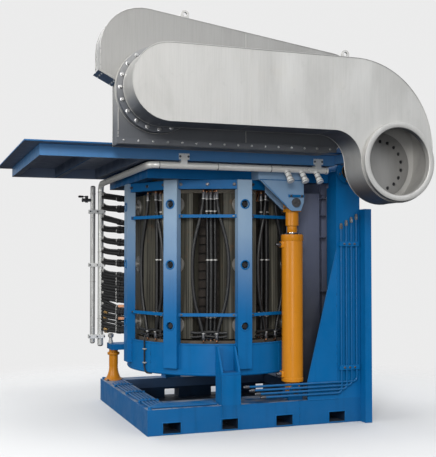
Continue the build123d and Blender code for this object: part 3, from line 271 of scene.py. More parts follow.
# Materials
def painted(name, colour, dust=0.35, grime=0.35, rough=0.3, coat=0.35, edge=0.003, highlight_band=None):
    """Sprayed enamel: mottled, streaked by drips, dusty on top and grimy low down, with painted shade on the
    faces that look down.
    The highlight band is a painted reflection, pale from one height up to another, as (low, high, strength)."""
    t = Tree(name)
    dark = tuple(c * 0.45 for c in colour)
    pale = tuple(min(1.0, c * 1.15 + 0.004) for c in colour)
    tone = t.ramp(t.noise(1.7, 5.0), 0.3, 0.72)
    base = t.mix(t.times(tone, 0.55), colour, pale)
    spots = t.ramp(t.noise(26.0, 4.0, 0.7), 0.52, 0.78)
    base = t.mix(t.times(spots, 0.16), base, dark)
    streaks = t.noise(1.0, 4.0, 0.6, t.scaled((16.0, 16.0, 0.9)))
    base = t.mix(t.times(t.ramp(streaks, 0.5, 0.82), grime), base, dark)
    flakes = t.cells(46.0, t.scaled((1.0, 1.0, 1.0), (0.4, 0.3, 0.2)))
    chips = t.ramp(flakes, 0.03, 0.06, 1.0, 0.0)
    rare = t.ramp(t.noise(5.0, 2.0), 0.6, 0.7)
    base = t.mix(t.times(t.times(chips, rare), 0.5), base, (0.28, 0.27, 0.26))
    # Painted highlight: a pale blue-grey reflection laid on from one height up, broken by noise.
    if highlight_band:
        start, full, strength = highlight_band
        cloud = t.ramp(t.noise(2.4, 4.0), 0.2, 0.75, 0.75, 1.0)
        highlight_mask = t.times(t.ramp(t.along("Z"), start, full), cloud)
        base = t.mix(t.times(highlight_mask, strength), base, (0.34, 0.455, 0.57))
    patches = t.ramp(t.noise(5.5, 6.0, 0.65), 0.35, 0.6)
    film = t.times(t.times(t.upward(0.55, 0.95), patches), dust)
    base = t.mix(film, base, (0.42, 0.42, 0.42))
    # Painted shade on the faces that look down.
    shade = t.times(t.downward(0.5, 0.9), t.ramp(t.noise(4.0, 3.0), 0.2, 0.8, 0.95, 0.75))
    base = t.mix(shade, base, tuple(c * 0.12 + 0.004 for c in colour))
    low = t.ramp(t.along("Z"), 0.0, 0.5, 1.0, 0.0)
    base = t.mix(t.times(t.times(low, t.noise(9.0, 5.0)), grime * 0.3), base, (0.10, 0.10, 0.11))
    sheen = t.ramp(t.noise(7.0, 4.0), 0.3, 0.7, rough * 0.8, rough * 1.35)
    t.surface(base, t.times(sheen, t.times(film, 0.5), "ADD"))
    t.shader.inputs["Coat Weight"].default_value = coat
    t.shader.inputs["Coat Roughness"].default_value = 0.22
    t.shader.inputs["Specular IOR Level"].default_value = 0.16
    t.relief(t.times(t.noise(85.0, 2.0), t.times(t.noise(14.0, 2.0), 2.5), "ADD"), 0.18, 0.0012, edge)
    return t.material


def stainless(name, colour, low=None):
    """Satin sheet: a fine upright grain, with wipe marks, faint heat tints and painted shade on the faces
    that look down.
    Painted shade darkens it from one height down to another, given as (low, high)."""
    t = Tree(name)
    rough = 0.5
    lines = t.noise(2.0, 3.0, 0.6, t.scaled((60.0, 60.0, 1.5)))
    wipes = t.noise(1.3, 5.0, 0.6, t.scaled((2.6, 2.6, 0.8)), 0.6)
    dark = tuple(c * 0.72 for c in colour)
    warm = (colour[0] * 0.98, colour[1] * 0.93, colour[2] * 0.86)
    base = t.mix(t.times(t.ramp(wipes, 0.42, 0.75), 0.3), colour, dark)
    base = t.mix(t.times(t.ramp(lines, 0.4, 0.7), 0.22), base, dark)
    base = t.mix(t.times(t.ramp(t.noise(3.1, 4.0), 0.58, 0.78), 0.25), base, warm)
    stain = t.ramp(t.noise(11.0, 5.0, 0.7), 0.6, 0.75)
    base = t.mix(t.times(stain, 0.2), base, (0.3, 0.29, 0.27))
    # Painted shade on the faces that look down.
    base = t.mix(t.times(t.downward(0.2, 0.8), 0.9), base, SHADE_DARK)
    # Painted shade low down.
    if low:
        base = t.mix(t.ramp(t.along("Z"), *low, 0.75, 0.0), base, SHADE_DARK)
    t.surface(base, t.ramp(wipes, 0.25, 0.8, rough * 0.9, rough * 1.25), 0.55)
    t.relief(t.times(lines, t.times(t.noise(2.6, 2.0), 1.2), "ADD"), 0.025, 0.0012, 0.003)
    return t.material


def rubber(name):
    """Black water hose, scuffed and dusty on top."""
    t = Tree(name)
    scuff = t.ramp(t.noise(38.0, 4.0, 0.7), 0.5, 0.75)
    base = t.mix(t.times(scuff, 0.5), (0.006, 0.006, 0.0066), (0.03, 0.03, 0.031))
    base = t.mix(t.times(t.upward(0.4, 0.9), 0.25), base, (0.09, 0.09, 0.09))
    t.surface(base, t.ramp(t.noise(16.0, 3.0), 0.3, 0.7, 0.34, 0.58))
    t.relief(t.bands(140.0, "Z"), 0.12, 0.0006)
    return t.material


def refractory(name, colour, dark):
    """Rammed and cast refractory: grainy, stained and pitted."""
    t = Tree(name)
    grain = t.noise(48.0, 5.0, 0.75)
    cloud = t.noise(3.4, 5.0, 0.6)
    base = t.mix(t.ramp(cloud, 0.32, 0.7), colour, dark)
    base = t.mix(t.times(t.ramp(grain, 0.5, 0.75), 0.4), base, tuple(c * 0.6 for c in dark))
    pits = t.ramp(t.cells(70.0), 0.05, 0.16)
    t.surface(base, t.ramp(cloud, 0.3, 0.7, 0.75, 0.95))
    t.relief(t.times(grain, pits, "ADD"), 0.55, 0.003, 0.003)
    return t.material


def laminated(name):
    """The edges of stacked iron sheets: upright lines, varnish runs and rust bloom."""
    t = Tree(name)
    sheets = t.noise(1.0, 2.0, 0.5, t.scaled((190.0, 190.0, 1.0)))
    cloud = t.noise(2.6, 5.0, 0.6, t.scaled((1.6, 1.6, 0.5)))
    base = t.mix(t.ramp(cloud, 0.3, 0.72), (0.05, 0.047, 0.035), (0.017, 0.016, 0.013))
    base = t.mix(t.times(t.ramp(sheets, 0.42, 0.66), 0.5), base, (0.2, 0.188, 0.145))
    wide = t.noise(1.0, 2.0, 0.5, t.scaled((26.0, 26.0, 0.5)))
    base = t.mix(t.times(t.ramp(wide, 0.55, 0.72), 0.45), base, (0.3, 0.28, 0.22))
    rust = t.times(t.ramp(t.noise(7.5, 5.0, 0.7), 0.56, 0.74), 0.45)
    base = t.mix(rust, base, (0.2, 0.1, 0.05))
    t.surface(base, t.ramp(cloud, 0.3, 0.7, 0.42, 0.65), 0.35)
    t.relief(sheets, 0.5, 0.0015, 0.002)
    return t.material


def bare_metal(name, colour, rough, metal=1.0, grime=0.4):
    """Machined or cast metal with oil stains and small scratches."""
    t = Tree(name)
    cloud = t.noise(9.0, 5.0, 0.65)
    scratches = t.noise(3.0, 2.0, 0.5, t.scaled((90.0, 14.0, 90.0), (0.3, 0.2, 0.5)))
    dark = tuple(c * 0.4 for c in colour)
    base = t.mix(t.times(t.ramp(cloud, 0.42, 0.75), grime), colour, dark)
    base = t.mix(t.times(t.ramp(scratches, 0.6, 0.75), 0.25), base, tuple(min(1, c * 1.5) for c in colour))
    t.surface(base, t.ramp(cloud, 0.3, 0.7, rough * 0.75, rough * 1.4), metal)
    t.relief(t.times(cloud, scratches, "ADD"), 0.2, 0.0008, 0.0015)
    return t.material


def shield_sheet(name, colour):
    """The bent shield: grey enamel, with painted shade low down and where it turns away from the light."""
    made = painted(name, colour, 0.2, 0.4, 0.38, 0.12)
    t = Tree(made)
    # Painted shade: darker low down and on faces that look right, away from the light.
    low = t.ramp(t.along("Z"), 0.7, 2.05, 1.0, 0.0)
    shade_mask = t.times(low, t.ramp(t.facing("X"), 0.86, 0.99), "MAXIMUM")
    shade_mask = t.times(shade_mask, t.ramp(t.noise(2.2, 4.0), 0.2, 0.8, 0.8, 0.96))
    t.recolour(shade_mask, tuple(c * 0.1 for c in colour))
    return made


def framed(name, colour):
    """The deck's beams: enamel with a painted highlight along the top of their faces, and painted shade on
    the faces inside.
    """
    made = painted(name, colour, 0.16, 0.3, 0.36, 0.2, highlight_band=(2.36, 2.44, 0.22))
    t = Tree(made)
    # Painted shade: the inner faces are mixed to a dark grey-blue.
    right_of_end = t.times(t.along("X"), DECK_LEFT + GRAZE, "GREATER_THAN")
    inside = t.times(t.within("Y", DECK_HALF - GRAZE), right_of_end)
    tone = t.ramp(t.noise(3.0, 3.0), 0.2, 0.8, 0.95, 0.8)
    t.recolour(t.times(inside, tone), UNDERSIDE_SHADE)
    t.put(t.shader.inputs["Coat Weight"], t.ramp(inside, 0.0, 1.0, 0.2, 0.0))
    return made


def pit_frame(name, colour):
    """The floor frame: enamel with dusty ledges, and painted shade in its pockets and in its pit."""
    made = painted(name, colour, 0.6, 0.4, 0.42, 0.07)
    t = Tree(made)
    # Painted shade: inner faces of the pockets and pit go dark blue, darkest below the pit's shade level.
    inside = t.times(t.within("Y", SKID_HALF - GRAZE), t.within("X", SKID_HALF_LENGTH - 0.001))
    inside = t.times(inside, t.times(t.along("Z"), SKID_TOP - 0.001, "LESS_THAN"))
    low = t.times(t.along("Z"), PIT_SHADE_LEVEL, "LESS_THAN")
    tone = t.ramp(t.noise(3.0, 3.0), 0.2, 0.8, 0.95, 0.8)
    t.recolour(t.times(inside, tone), t.mix(low, (0.06, 0.095, 0.17), (0.012, 0.014, 0.022)))
    return made


def riser_metal(name, colour, shaded_colour):
    """Pipe metal that is bright under the deck, with painted shade that darkens its brightly lit upright
    stretch.
    """
    made = bare_metal(name, colour, 0.34, 0.35, 0.1)
    t = Tree(made)
    # Painted shade: the upright stretch below the deck is mixed to the shaded colour.
    t.recolour(t.ramp(t.along("Z"), 2.2, 2.38, 1.0, 0.0), shaded_colour)
    return made


def deck_sheet(name, colour):
    """The deck plate: rolled tread lozenges on a scuffed and painted sheet, with painted shade on its
    underside.
    """
    t = Tree(name)
    slanted = t.scaled((1.0, 1.0, 1.0), (0, 0, 0.785))
    first = t.bands(9.0, "X", slanted)
    second = t.bands(9.0, "Y", slanted)
    tread = t.times(t.ramp(first, 0.62, 0.8), t.ramp(second, 0.62, 0.8))
    cloud = t.noise(2.2, 5.0, 0.6)
    base = t.mix(t.ramp(cloud, 0.3, 0.7), colour, tuple(c * 0.65 for c in colour))
    base = t.mix(t.times(tread, 0.35), base, tuple(min(1, c * 1.3) for c in colour))
    # Painted shade on the faces that look down.
    base = t.mix(t.downward(0.5, 0.9), base, UNDERSIDE_SHADE)
    t.surface(base, t.ramp(t.noise(12.0, 3.0), 0.3, 0.7, 0.38, 0.55))
    t.shader.inputs["Specular IOR Level"].default_value = 0.35
    t.relief(tread, 0.6, 0.003, 0.002)
    return t.material


finishes = {
    "blue_paint": painted("blue_enamel", BLUE, 0.07, 0.3, 0.42, 0.05),
    "dark_shield": shield_sheet("shield_enamel", (0.08, 0.095, 0.155)),
    "stainless": stainless("satin_sheet", STEEL),
    "orange_paint": painted("orange_enamel", (0.55, 0.205, 0.009), 0.1, 0.5, 0.34, 0.25, 0.002),
    "bright_rod": bare_metal("chromed_rod", (0.78, 0.79, 0.8), 0.1, 1.0, 0.15),
    "dark_steel": bare_metal("dark_steel", (0.16, 0.16, 0.17), 0.42),
    "yoke_steel": laminated("stacked_iron"),
    "bush_bronze": bare_metal("bronze", (0.62, 0.40, 0.16), 0.3),
    "copper": bare_metal("coil_copper", (0.66, 0.33, 0.19), 0.35),
    "refractory": refractory("cast_refractory", (0.50, 0.45, 0.37), (0.30, 0.27, 0.22)),
    "hose_rubber": rubber("water_hose"),
    "bright_steel": bare_metal("bright_steel", (0.5, 0.5, 0.5), 0.3, 1.0, 0.3),
    # Near black and matte: painted shade for hollows and holes.
    "hollow": bare_metal("hollow_painted_shade", (0.01, 0.01, 0.012), 0.8, 0.0, 0.3),
    "lever_paint": painted("lever_enamel", (0.03, 0.03, 0.032), 0.1, 0.3, 0.4, 0.1, 0.001),
}
special = {
    "deck_plate": deck_sheet("tread_plate", BLUE),
    "coil": refractory("coil_varnish", (0.035, 0.026, 0.02), (0.018, 0.014, 0.012)),
    "coil_grout": refractory("dark_grout", (0.035, 0.03, 0.026), (0.02, 0.018, 0.016)),
    "bottom_block": refractory("smoked_block", (0.10, 0.08, 0.06), (0.045, 0.037, 0.03)),
    "jack_bolts": bare_metal("jack_steel", (0.34, 0.33, 0.31), 0.4, 0.6, 0.6),
    # The main's upright stretch gets painted shade, as the lamps light it more than the run under the deck.
    "water_main": riser_metal("pipe_steel", (0.92, 0.905, 0.86), (0.52, 0.525, 0.51)),
    "return_header": bare_metal("header_steel", (0.45, 0.45, 0.44), 0.34, 0.35, 0.14),
    "water_nozzles": bare_metal("nozzle_steel", (0.92, 0.91, 0.88), 0.4, 0.2, 0.12),
    "skid_frame": pit_frame("skid_enamel", (0.0, 0.1, 0.285)),
    # Columns and brackets carry a painted highlight: a pale reflection on their upper parts.
    "cage_columns": painted("column_enamel", BLUE, 0.14, 0.35, 0.42, 0.07, highlight_band=(0.95, 2.25, 0.95)),
    "cylinder_brackets": painted("bracket_enamel", BLUE, 0.14, 0.35, 0.42, 0.07, highlight_band=(1.55, 2.2, 0.72)),
    # The deck's beams take a lighter copy of the blue, a painted highlight for their dimly lit front faces.
    "deck_frame": framed("deck_enamel", (0.01, 0.15, 0.40)),
    # Painted shade darkens the collar low down.
    "duct_collar": stainless("collar_sheet", (0.27, 0.272, 0.275), low=(2.72, 3.2)),
    "outlet_flange": stainless("flange_sheet", (0.25, 0.246, 0.238)),
    # Painted shade: the hood's sheet is a darker copy of the satin sheet, as it stands behind the duct, and
    # darker still low down.
    "hood_box": stainless("hood_sheet", (0.30, 0.296, 0.286), low=(2.6, 3.06)),
    "oil_pipes": painted("pipe_enamel", (0.0, 0.09, 0.25), 0.1, 0.3, 0.4, 0.2, 0.0),
    "pipe_clips": bare_metal("clip_steel", (0.85, 0.85, 0.83), 0.35, 0.4, 0.2),
}


def dress_nodes():
    """Every CAD node gets the finish of its material slot, or its own."""
    slots = {row["node"]: row["material_slot"] for row in frame["record"]["subparts"]}
    for name, piece in nodes.items():
        material = special.get(name, finishes[slots[name]])
        piece.data.materials.clear()
        piece.data.materials.append(material)


# Mesh pieces
def placed(name, data):
    """A new object in the scene."""
    made = bpy.data.objects.new(name, data)
    bpy.context.scene.collection.objects.link(made)
    return made


def piece(name, bm, body, slot, material=None):
    """The built mesh as an object that rides on a body, smooth except at its edges."""
    mesh = to_mesh(name, bm)
    made = placed(name, mesh)
    mesh.materials.append(material or finishes[slot])
    for face in mesh.polygons:
        face.use_smooth = True
    mesh.set_sharp_from_angle(angle=math.radians(SHARP))
    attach(made, body)
    return made


def to_mesh(name, bm):
    mesh = bpy.data.meshes.new(name)
    bm.normal_update()
    bm.to_mesh(mesh)
    bm.free()
    return mesh


def add_ring(bm, centre, turn, radius, steps, along=0.0):
    """Points on a circle that stands across the turned Z axis."""
    ring = []
    for i in range(steps):
        a = 2 * math.pi * i / steps
        spot = turn @ Vector((radius * math.cos(a), radius * math.sin(a), along))
        ring.append(bm.verts.new(Vector(centre) + spot))
    return ring


def add_skin(bm, rings, looped=False):
    """Faces from ring to ring, with both ends capped or the last ring joined to the first."""
    pairs = list(zip(rings, rings[1:]))
    if looped:
        pairs.append((rings[-1], rings[0]))
    for low, high in pairs:
        for i in range(len(low)):
            j = (i + 1) % len(low)
            bm.faces.new((low[i], low[j], high[j], high[i]))
    if not looped:
        bm.faces.new(list(reversed(rings[0])))
        bm.faces.new(rings[-1])


def add_turned(bm, profile, centre, axis, steps=32, looped=False):
    """A turned solid: profile rows are (distance along the axis, radius)."""
    turn = Vector(axis).normalized().to_track_quat("Z", "Y").to_matrix()
    add_skin(bm, [add_ring(bm, centre, turn, radius, steps, along) for along, radius in profile], looped)


def add_loop(bm, profile, centre, axis, steps=48):
    """A turned ring whose profile closes on itself."""
    add_turned(bm, profile, centre, axis, steps, True)


def add_bolt(bm, centre, axis, across, head, washer=True):
    """A hexagon head with a chamfered crown on a washer, standing on a face."""
    r = across / 2 / math.cos(math.pi / 6)
    base = 0.0
    if washer:
        add_turned(bm, [(0, r * 1.28), (head * 0.2, r * 1.28), (head * 0.24, r * 1.2)], centre, axis, 20)
        base = head * 0.22
    rows = [(base, r), (base + head * 0.82, r), (base + head, r * 0.82)]
    add_turned(bm, rows, centre, axis, 6)


def add_box(bm, low, high, turn=None, about=None, bevel=0.0):
    """A box between two corners with slightly broken edges."""
    size = [h - l for l, h in zip(low, high)]
    middle = [(h + l) / 2 for l, h in zip(low, high)]
    made = bmesh.ops.create_cube(bm, size=1.0)["verts"]
    bmesh.ops.scale(bm, vec=size, verts=made)
    bmesh.ops.translate(bm, vec=middle, verts=made)
    if bevel:
        edges = list(dict.fromkeys(e for v in made for e in v.link_edges))
        cut = bmesh.ops.bevel(bm, geom=edges, offset=bevel, segments=2, affect="EDGES", profile=0.5)
        made = list({v for f in cut["faces"] for v in f.verts} | {v for v in made if v.is_valid})
    if turn is not None:
        bmesh.ops.rotate(bm, cent=about or middle, matrix=turn, verts=made)
    return made


def add_bead(bm, points, radius, seed=0):
    """A weld bead: a thin rippled ridge along a line of points."""
    local = random.Random(seed)
    length = sum((Vector(b) - Vector(a)).length for a, b in zip(points, points[1:]))
    spots = spread(points, max(2, int(length / (radius * WELD_STEP))))
    rings = []
    for k, spot in enumerate(spots):
        turn = ahead_of(spots, k).to_track_quat("Z", "Y").to_matrix()
        r = radius * (0.85 + 0.3 * (k % 2) + local.uniform(-0.08, 0.08))
        rings.append(add_ring(bm, spot, turn, r, 6))
    add_skin(bm, rings)


def ahead_of(spots, k):
    """The way a line of places runs at one of them."""
    return (spots[min(k + 1, len(spots) - 1)] - spots[max(k - 1, 0)]).normalized()


def spread(points, count):
    """Evenly spaced places along straight runs."""
    spots = [Vector(p) for p in points]
    runs = [(b - a).length for a, b in zip(spots, spots[1:])]
    total = sum(runs)
    placed = []
    for k in range(count + 1):
        want = total * k / count
        for a, b, run in zip(spots, spots[1:], runs):
            if want <= run + 1e-9:
                placed.append(a.lerp(b, want / run if run else 0))
                break
            want -= run
    return placed


def ring_of(centre, radius, axis_y, count, start=0.0):
    """Places on a circle that faces along Y."""
    x, z = centre
    for i in range(count):
        a = start + 2 * math.pi * i / count
        yield (x + radius * math.cos(a), axis_y, z + radius * math.sin(a))


def level_ring(centre, radius, count):
    """Places on a level circle, the first half a step off the X axis."""
    x, y, z = centre
    for i in range(count):
        a = math.pi / count * (2 * i + 1)
        yield (x + radius * math.cos(a), y + radius * math.sin(a), z)


def radial(angle, radius, side, z):
    """A place round the shell's axis, by angle in degrees, reach and sideways shift."""
    a = math.radians(angle)
    x = SHELL_X + radius * math.cos(a) - side * math.sin(a)
    return (x, radius * math.sin(a) + side * math.cos(a), z)


# Stage
def make_camera():
    data = bpy.data.cameras.new("view")
    data.sensor_fit = "HORIZONTAL"
    data.sensor_width = 36.0
    data.lens = LENS
    data.clip_end = 100.0
    camera = placed("view", data)
    camera.location = EYE
    camera.rotation_euler = (math.pi / 2 + PITCH, 0.0, -YAW)
    bpy.context.scene.camera = camera


def make_world():
    world = bpy.data.worlds.new("studio")
    bpy.context.scene.world = world
    world.use_nodes = True
    tree = world.node_tree
    tree.nodes.clear()
    out = tree.nodes.new("ShaderNodeOutputWorld")
    soft = tree.nodes.new("ShaderNodeBackground")
    shown = tree.nodes.new("ShaderNodeBackground")
    mixer = tree.nodes.new("ShaderNodeMixShader")
    path = tree.nodes.new("ShaderNodeLightPath")
    split = tree.nodes.new("ShaderNodeSeparateXYZ")
    place = tree.nodes.new("ShaderNodeTexCoord")
    rise = tree.nodes.new("ShaderNodeMapRange")
    rise.inputs["From Min"].default_value = -0.2
    rise.inputs["From Max"].default_value = 0.45
    rise.interpolation_type = "SMOOTHSTEP"
    rise.inputs["To Min"].default_value = 0.03
    rise.inputs["To Max"].default_value = 0.75
    tree.links.new(place.outputs["Generated"], split.inputs[0])
    tree.links.new(split.outputs["Z"], rise.inputs["Value"])
    tree.links.new(rise.outputs["Result"], soft.inputs["Strength"])
    soft.inputs["Color"].default_value = (0.93, 0.96, 1.0, 1)
    shown.inputs["Color"].default_value = (PAPER, PAPER, PAPER, 1)
    tree.links.new(path.outputs["Is Camera Ray"], mixer.inputs[0])
    tree.links.new(soft.outputs[0], mixer.inputs[1])
    tree.links.new(shown.outputs[0], mixer.inputs[2])
    tree.links.new(mixer.outputs[0], out.inputs["Surface"])


def make_lamp(name, place, aim, size, power, colour=(1, 1, 1)):
    data = bpy.data.lights.new(name, "AREA")
    data.size = size
    data.energy = power
    data.color = colour
    lamp = placed(name, data)
    lamp.location = place
    lamp.rotation_euler = (Vector(aim) - Vector(place)).to_track_quat("-Z", "Y").to_euler()


def make_floor():
    """A pale floor that fades into the backdrop's colour with distance."""
    bm = bmesh.new()
    bmesh.ops.create_circle(bm, cap_ends=True, segments=96, radius=FLOOR_RADIUS)
    mesh = to_mesh("floor", bm)
    made = placed("floor", mesh)
    made.location = (0, 0, -0.001)
    t = Tree("floor_paper")
    path = t.tree.nodes.new("ShaderNodeLightPath")
    t.surface(t.mix(path.outputs["Is Camera Ray"], (0.2, 0.2, 0.21), (0.74, 0.74, 0.74)), 0.9)
    clear = t.tree.nodes.new("ShaderNodeBsdfTransparent")
    mixer = t.tree.nodes.new("ShaderNodeMixShader")
    length = t.tree.nodes.new("ShaderNodeVectorMath")
    length.operation = "LENGTH"
    t.join(t.place, length.inputs[0])
    fade = t.ramp(length.outputs["Value"], FLOOR_RADIUS * 0.25, FLOOR_RADIUS * 0.6)
    out = t.tree.nodes["Material Output"]
    t.join(fade, mixer.inputs[0])
    t.join(t.shader.outputs[0], mixer.inputs[1])
    t.join(clear.outputs[0], mixer.inputs[2])
    t.join(mixer.outputs[0], out.inputs["Surface"])
    mesh.materials.append(t.material)


def make_stage():
    make_camera()
    make_world()
    make_floor()
    make_lamp("key", (-4.2, -9.5, 5.6), (0, 0, 1.6), 3.0, 460, (1.0, 0.98, 0.95))
    make_lamp("window", (-9.2, -3.2, 3.4), (0, 0, 1.6), 4.2, 300, (1.0, 1.0, 0.96))
    make_lamp("fill", (4.6, -9.6, 5.6), (0, 0, 1.6), 3.6, 150, (0.94, 0.97, 1.0))
    make_lamp("front", (-3.4, -10.6, 1.4), (-0.3, 0, 1.7), 3.4, 200, (0.97, 0.98, 1.0))
    make_lamp("top", (-1.0, -2.5, 9.0), (0, 0, 1.6), 4.0, 240)
    make_lamp("rear", (-2.0, 7.0, 6.0), (0, 0, 1.8), 4.0, 220)


# Outlines
def rounded(points, radii, steps=10):
    """A closed X and Z outline with its corners rounded to the given radii."""
    spots = []
    count = len(points)
    for k in range(count):
        corner = Vector(points[k])
        back = (Vector(points[k - 1]) - corner).normalized()
        ahead = (Vector(points[(k + 1) % count]) - corner).normalized()
        if not radii[k]:
            spots.append(corner)
            continue
        half = back.angle(ahead) / 2
        middle = corner + (back + ahead).normalized() * radii[k] / math.sin(half)
        start = corner + back * radii[k] / math.tan(half)
        end = corner + ahead * radii[k] / math.tan(half)
        a, b = start - middle, end - middle
        for i in range(steps + 1):
            spots.append(middle + a.slerp(b, i / steps).normalized() * radii[k])
    return spots


def arc(centre, radius, start, end, steps=24):
    """Places along an arc, by angles in degrees."""
    return [
        Vector((centre[0] + radius * math.cos(a), centre[1] + radius * math.sin(a)))
        for a in (math.radians(start + (end - start) * i / steps) for i in range(steps + 1))
    ]


def duct_outline():
    """The duct's side outline: a straight run, a round end and a bend down to the outlet."""
    bend = (TILT[0] + DUCT_ARM - DUCT_BEND, DUCT_TOP - DUCT_BEND)
    inner = DUCT_BOTTOM - TILT[1]
    spots = arc(bend, DUCT_BEND, 90, 0) + arc(TILT, DUCT_ARM, 0, -180)
    spots += arc((TILT[0] - DUCT_ARM - inner, TILT[1]), inner, 0, 90)
    return spots + arc(DUCT_END, DUCT_HEIGHT / 2, 270, 90)


def hood_outline():
    """The hood's front outline: a lip on the left, a sloped top and rounded corners."""
    fall = math.tan(math.radians(HOOD_FALL))
    right_top = HOOD_CREST - (HOOD_RIGHT - HOOD_LEFT) * fall
    corners = [
        (HOOD_FOOT_LEFT, HOOD_BOTTOM), (HOOD_FOOT_LEFT, HOOD_LIP[0]), (HOOD_LEFT, HOOD_LIP[1]),
        (HOOD_LEFT, HOOD_CREST), (HOOD_RIGHT, right_top), (HOOD_FOOT_RIGHT, HOOD_BOTTOM),
    ]
    return rounded(corners, (0, 0, 0, 0.355, 0.2, 0.15))


def add_edge(bm, outline, y, radius, seed):
    """A ground weld along an outline at one depth."""
    add_bead(bm, [(p[0], y, p[1]) for p in list(outline) + [outline[0]]], radius, seed)


def add_pipe(bm, points, radius, steps=12):
    """A round pipe swept smoothly through points."""
    smooth = []
    spots = [Vector(p) for p in points]
    for k, (a, b) in enumerate(zip(spots, spots[1:])):
        before, after = spots[max(k - 1, 0)], spots[min(k + 2, len(spots) - 1)]
        square = 2 * before - 5 * a + 4 * b - after
        cube = 3 * a - before - 3 * b + after
        for i in range(6):
            t = i / 6
            smooth.append(0.5 * ((2 * a) + (b - before) * t + square * t ** 2 + cube * t ** 3))
    smooth.append(spots[-1])
    rings = []
    turn = None
    for k, spot in enumerate(smooth):
        ahead = ahead_of(smooth, k)
        if turn is None:
            turn = ahead.to_track_quat("Z", "Y")
        else:
            turn = (turn @ Vector(UP)).rotation_difference(ahead) @ turn
        rings.append(add_ring(bm, spot, turn, radius, steps))
    add_skin(bm, rings)


def soft_path(points, steps=5):
    """A hose's run: straight ends, and a curve that rounds each corner from middle to middle."""
    spots = [Vector(p) for p in points]
    middles = [a.lerp(b, 0.5) for a, b in zip(spots, spots[1:])]
    made = [spots[0]]
    for before, corner, after in zip(middles, spots[1:], middles[1:]):
        for i in range(steps + 1):
            t = i / steps
            made.append(before.lerp(corner, t).lerp(corner.lerp(after, t), t))
    return made + [spots[-1]]


def add_band(bm, centre, axis, inner, outer, width, steps=28):
    """A flat band round a pipe or hose, with its edges broken."""
    half = width / 2
    cut = (outer - inner) * 0.3
    left = [(-half, inner), (-half, outer - cut), (-half + cut, outer)]
    add_loop(bm, left + [(-along, r) for along, r in reversed(left)], centre, axis, steps)


def outward(angle):
    """The way that leads straight out from the shell's axis at an angle."""
    return Vector(radial(angle, 1, 0, 0)) - Vector(radial(angle, 0, 0, 0))


def add_arc_bar(bm, inner, outer, low, high, start, end, step=2):
    """A bent bar round the shell's axis, between two angles."""
    rows = []
    for a in range(start, end + 1, step):
        corners = ((inner, low), (outer, low), (outer, high), (inner, high))
        rows.append([bm.verts.new(radial(a, r, 0, z)) for r, z in corners])
    add_skin(bm, rows)


def add_fin(bm, angle, inner, outer, low, high):
    """A thin upright plate that stands out from the shell's axis."""
    corners = ((inner, -FIN_HALF), (inner, FIN_HALF), (outer, FIN_HALF), (outer, -FIN_HALF))
    add_skin(bm, [[bm.verts.new(radial(angle, r, side, z)) for r, side in corners] for z in (low, high)])


# Skid and what stands on it
def pocket_rims():
    """Raised rims round the mouths of the fork pockets."""
    bm = bmesh.new()
    low, high, rim = POCKET_LOW, POCKET_HIGH, POCKET_RIM
    for k in range(4):
        x = POCKET_MIDDLE + POCKET_PITCH * (k - 1.5)
        x0, x1 = x - POCKET_HALF, x + POCKET_HALF
        sides = (
            (x0 - rim, x1 + rim, low - rim, low), (x0 - rim, x1 + rim, high, high + rim),
            (x0 - rim, x0, low, high), (x1, x1 + rim, low, high),
        )
        for side in (-1, 1):
            y0, y1 = sorted((side * SKID_HALF, side * (SKID_HALF + rim / 2)))
            for a, b, c, d in sides:
                add_box(bm, (a, y0, c), (b, y1, d), bevel=0.0015)
    piece("pocket_rims", bm, "base", "blue_paint")


def skid_welds():
    """Welds of the floor frame, the rest blocks, the stanchions' gussets and the cylinder lugs."""
    bm = bmesh.new()
    top = SKID_TOP
    for seed, (x, y) in enumerate(((0.41, -SKID_HALF), (0.41, SKID_HALF), (-0.36, -SKID_HALF))):
        add_bead(bm, [(x, y, 0.012), (x, y, 0.222)], 0.0045, seed)
    left, right = GUSSET
    for side in (-1, 1):
        x = side * 0.82
        add_bead(bm, [(x, -1.0, top), (x, -0.61, top)], 0.004, 5 + side)
        add_bead(bm, [(x, 0.835, top), (x, 1.0, top)], 0.004, 9 + side)
        for seed, x in ((12, REST_LEFT), (13, REST_RIGHT)):
            add_bead(bm, [(x, side * SKID_HALF, top), (x, side * 0.80, top)], 0.006, seed)
        face = side * (SKID_HALF - 0.001)
        add_bead(bm, [(left, face, top), (right, face, top)], 0.006, 14)
        add_bead(bm, [(left, face, 0.40), (right, face, 1.634)], 0.003, 15)
        add_bead(bm, [(right, face, 0.25), (right, face, 1.62)], 0.005, 16)
        for x in (0.325, 0.465):
            for y in (0.814, 0.838, 0.932, 0.956):
                add_bead(bm, [(x, side * y, top), (x, side * y, top + 0.06)], 0.003, 17)
    piece("skid_welds", bm, "base", "blue_paint")


def pipe_saddles():
    """Straps over the oil pipes on the left beam, and the skid's corner bolts."""
    bm = bmesh.new()
    for y in (-0.62, -0.12, 0.38):
        low, high = y - 0.018, y + 0.018
        add_box(bm, (-1.035, low, SKID_TOP + 0.0222), (-0.845, high, SKID_TOP + 0.0272), bevel=0.0015)
        for x in (-1.027, -0.853):
            add_box(bm, (x - 0.007, low, SKID_TOP), (x + 0.007, high, SKID_TOP + 0.0225), bevel=0.0015)
        for k in range(4):
            add_bolt(bm, (-0.994 + 0.034 * k, y, SKID_TOP + 0.027), UP, 0.013, 0.008)
    for x, y in ((-1.024, 0.96), (-1.024, -0.985), (1.02, -0.72), (1.02, 0.72)):
        add_bolt(bm, (x, y, SKID_TOP), UP, 0.03, 0.019)
    piece("pipe_saddles", bm, "base", "blue_paint")


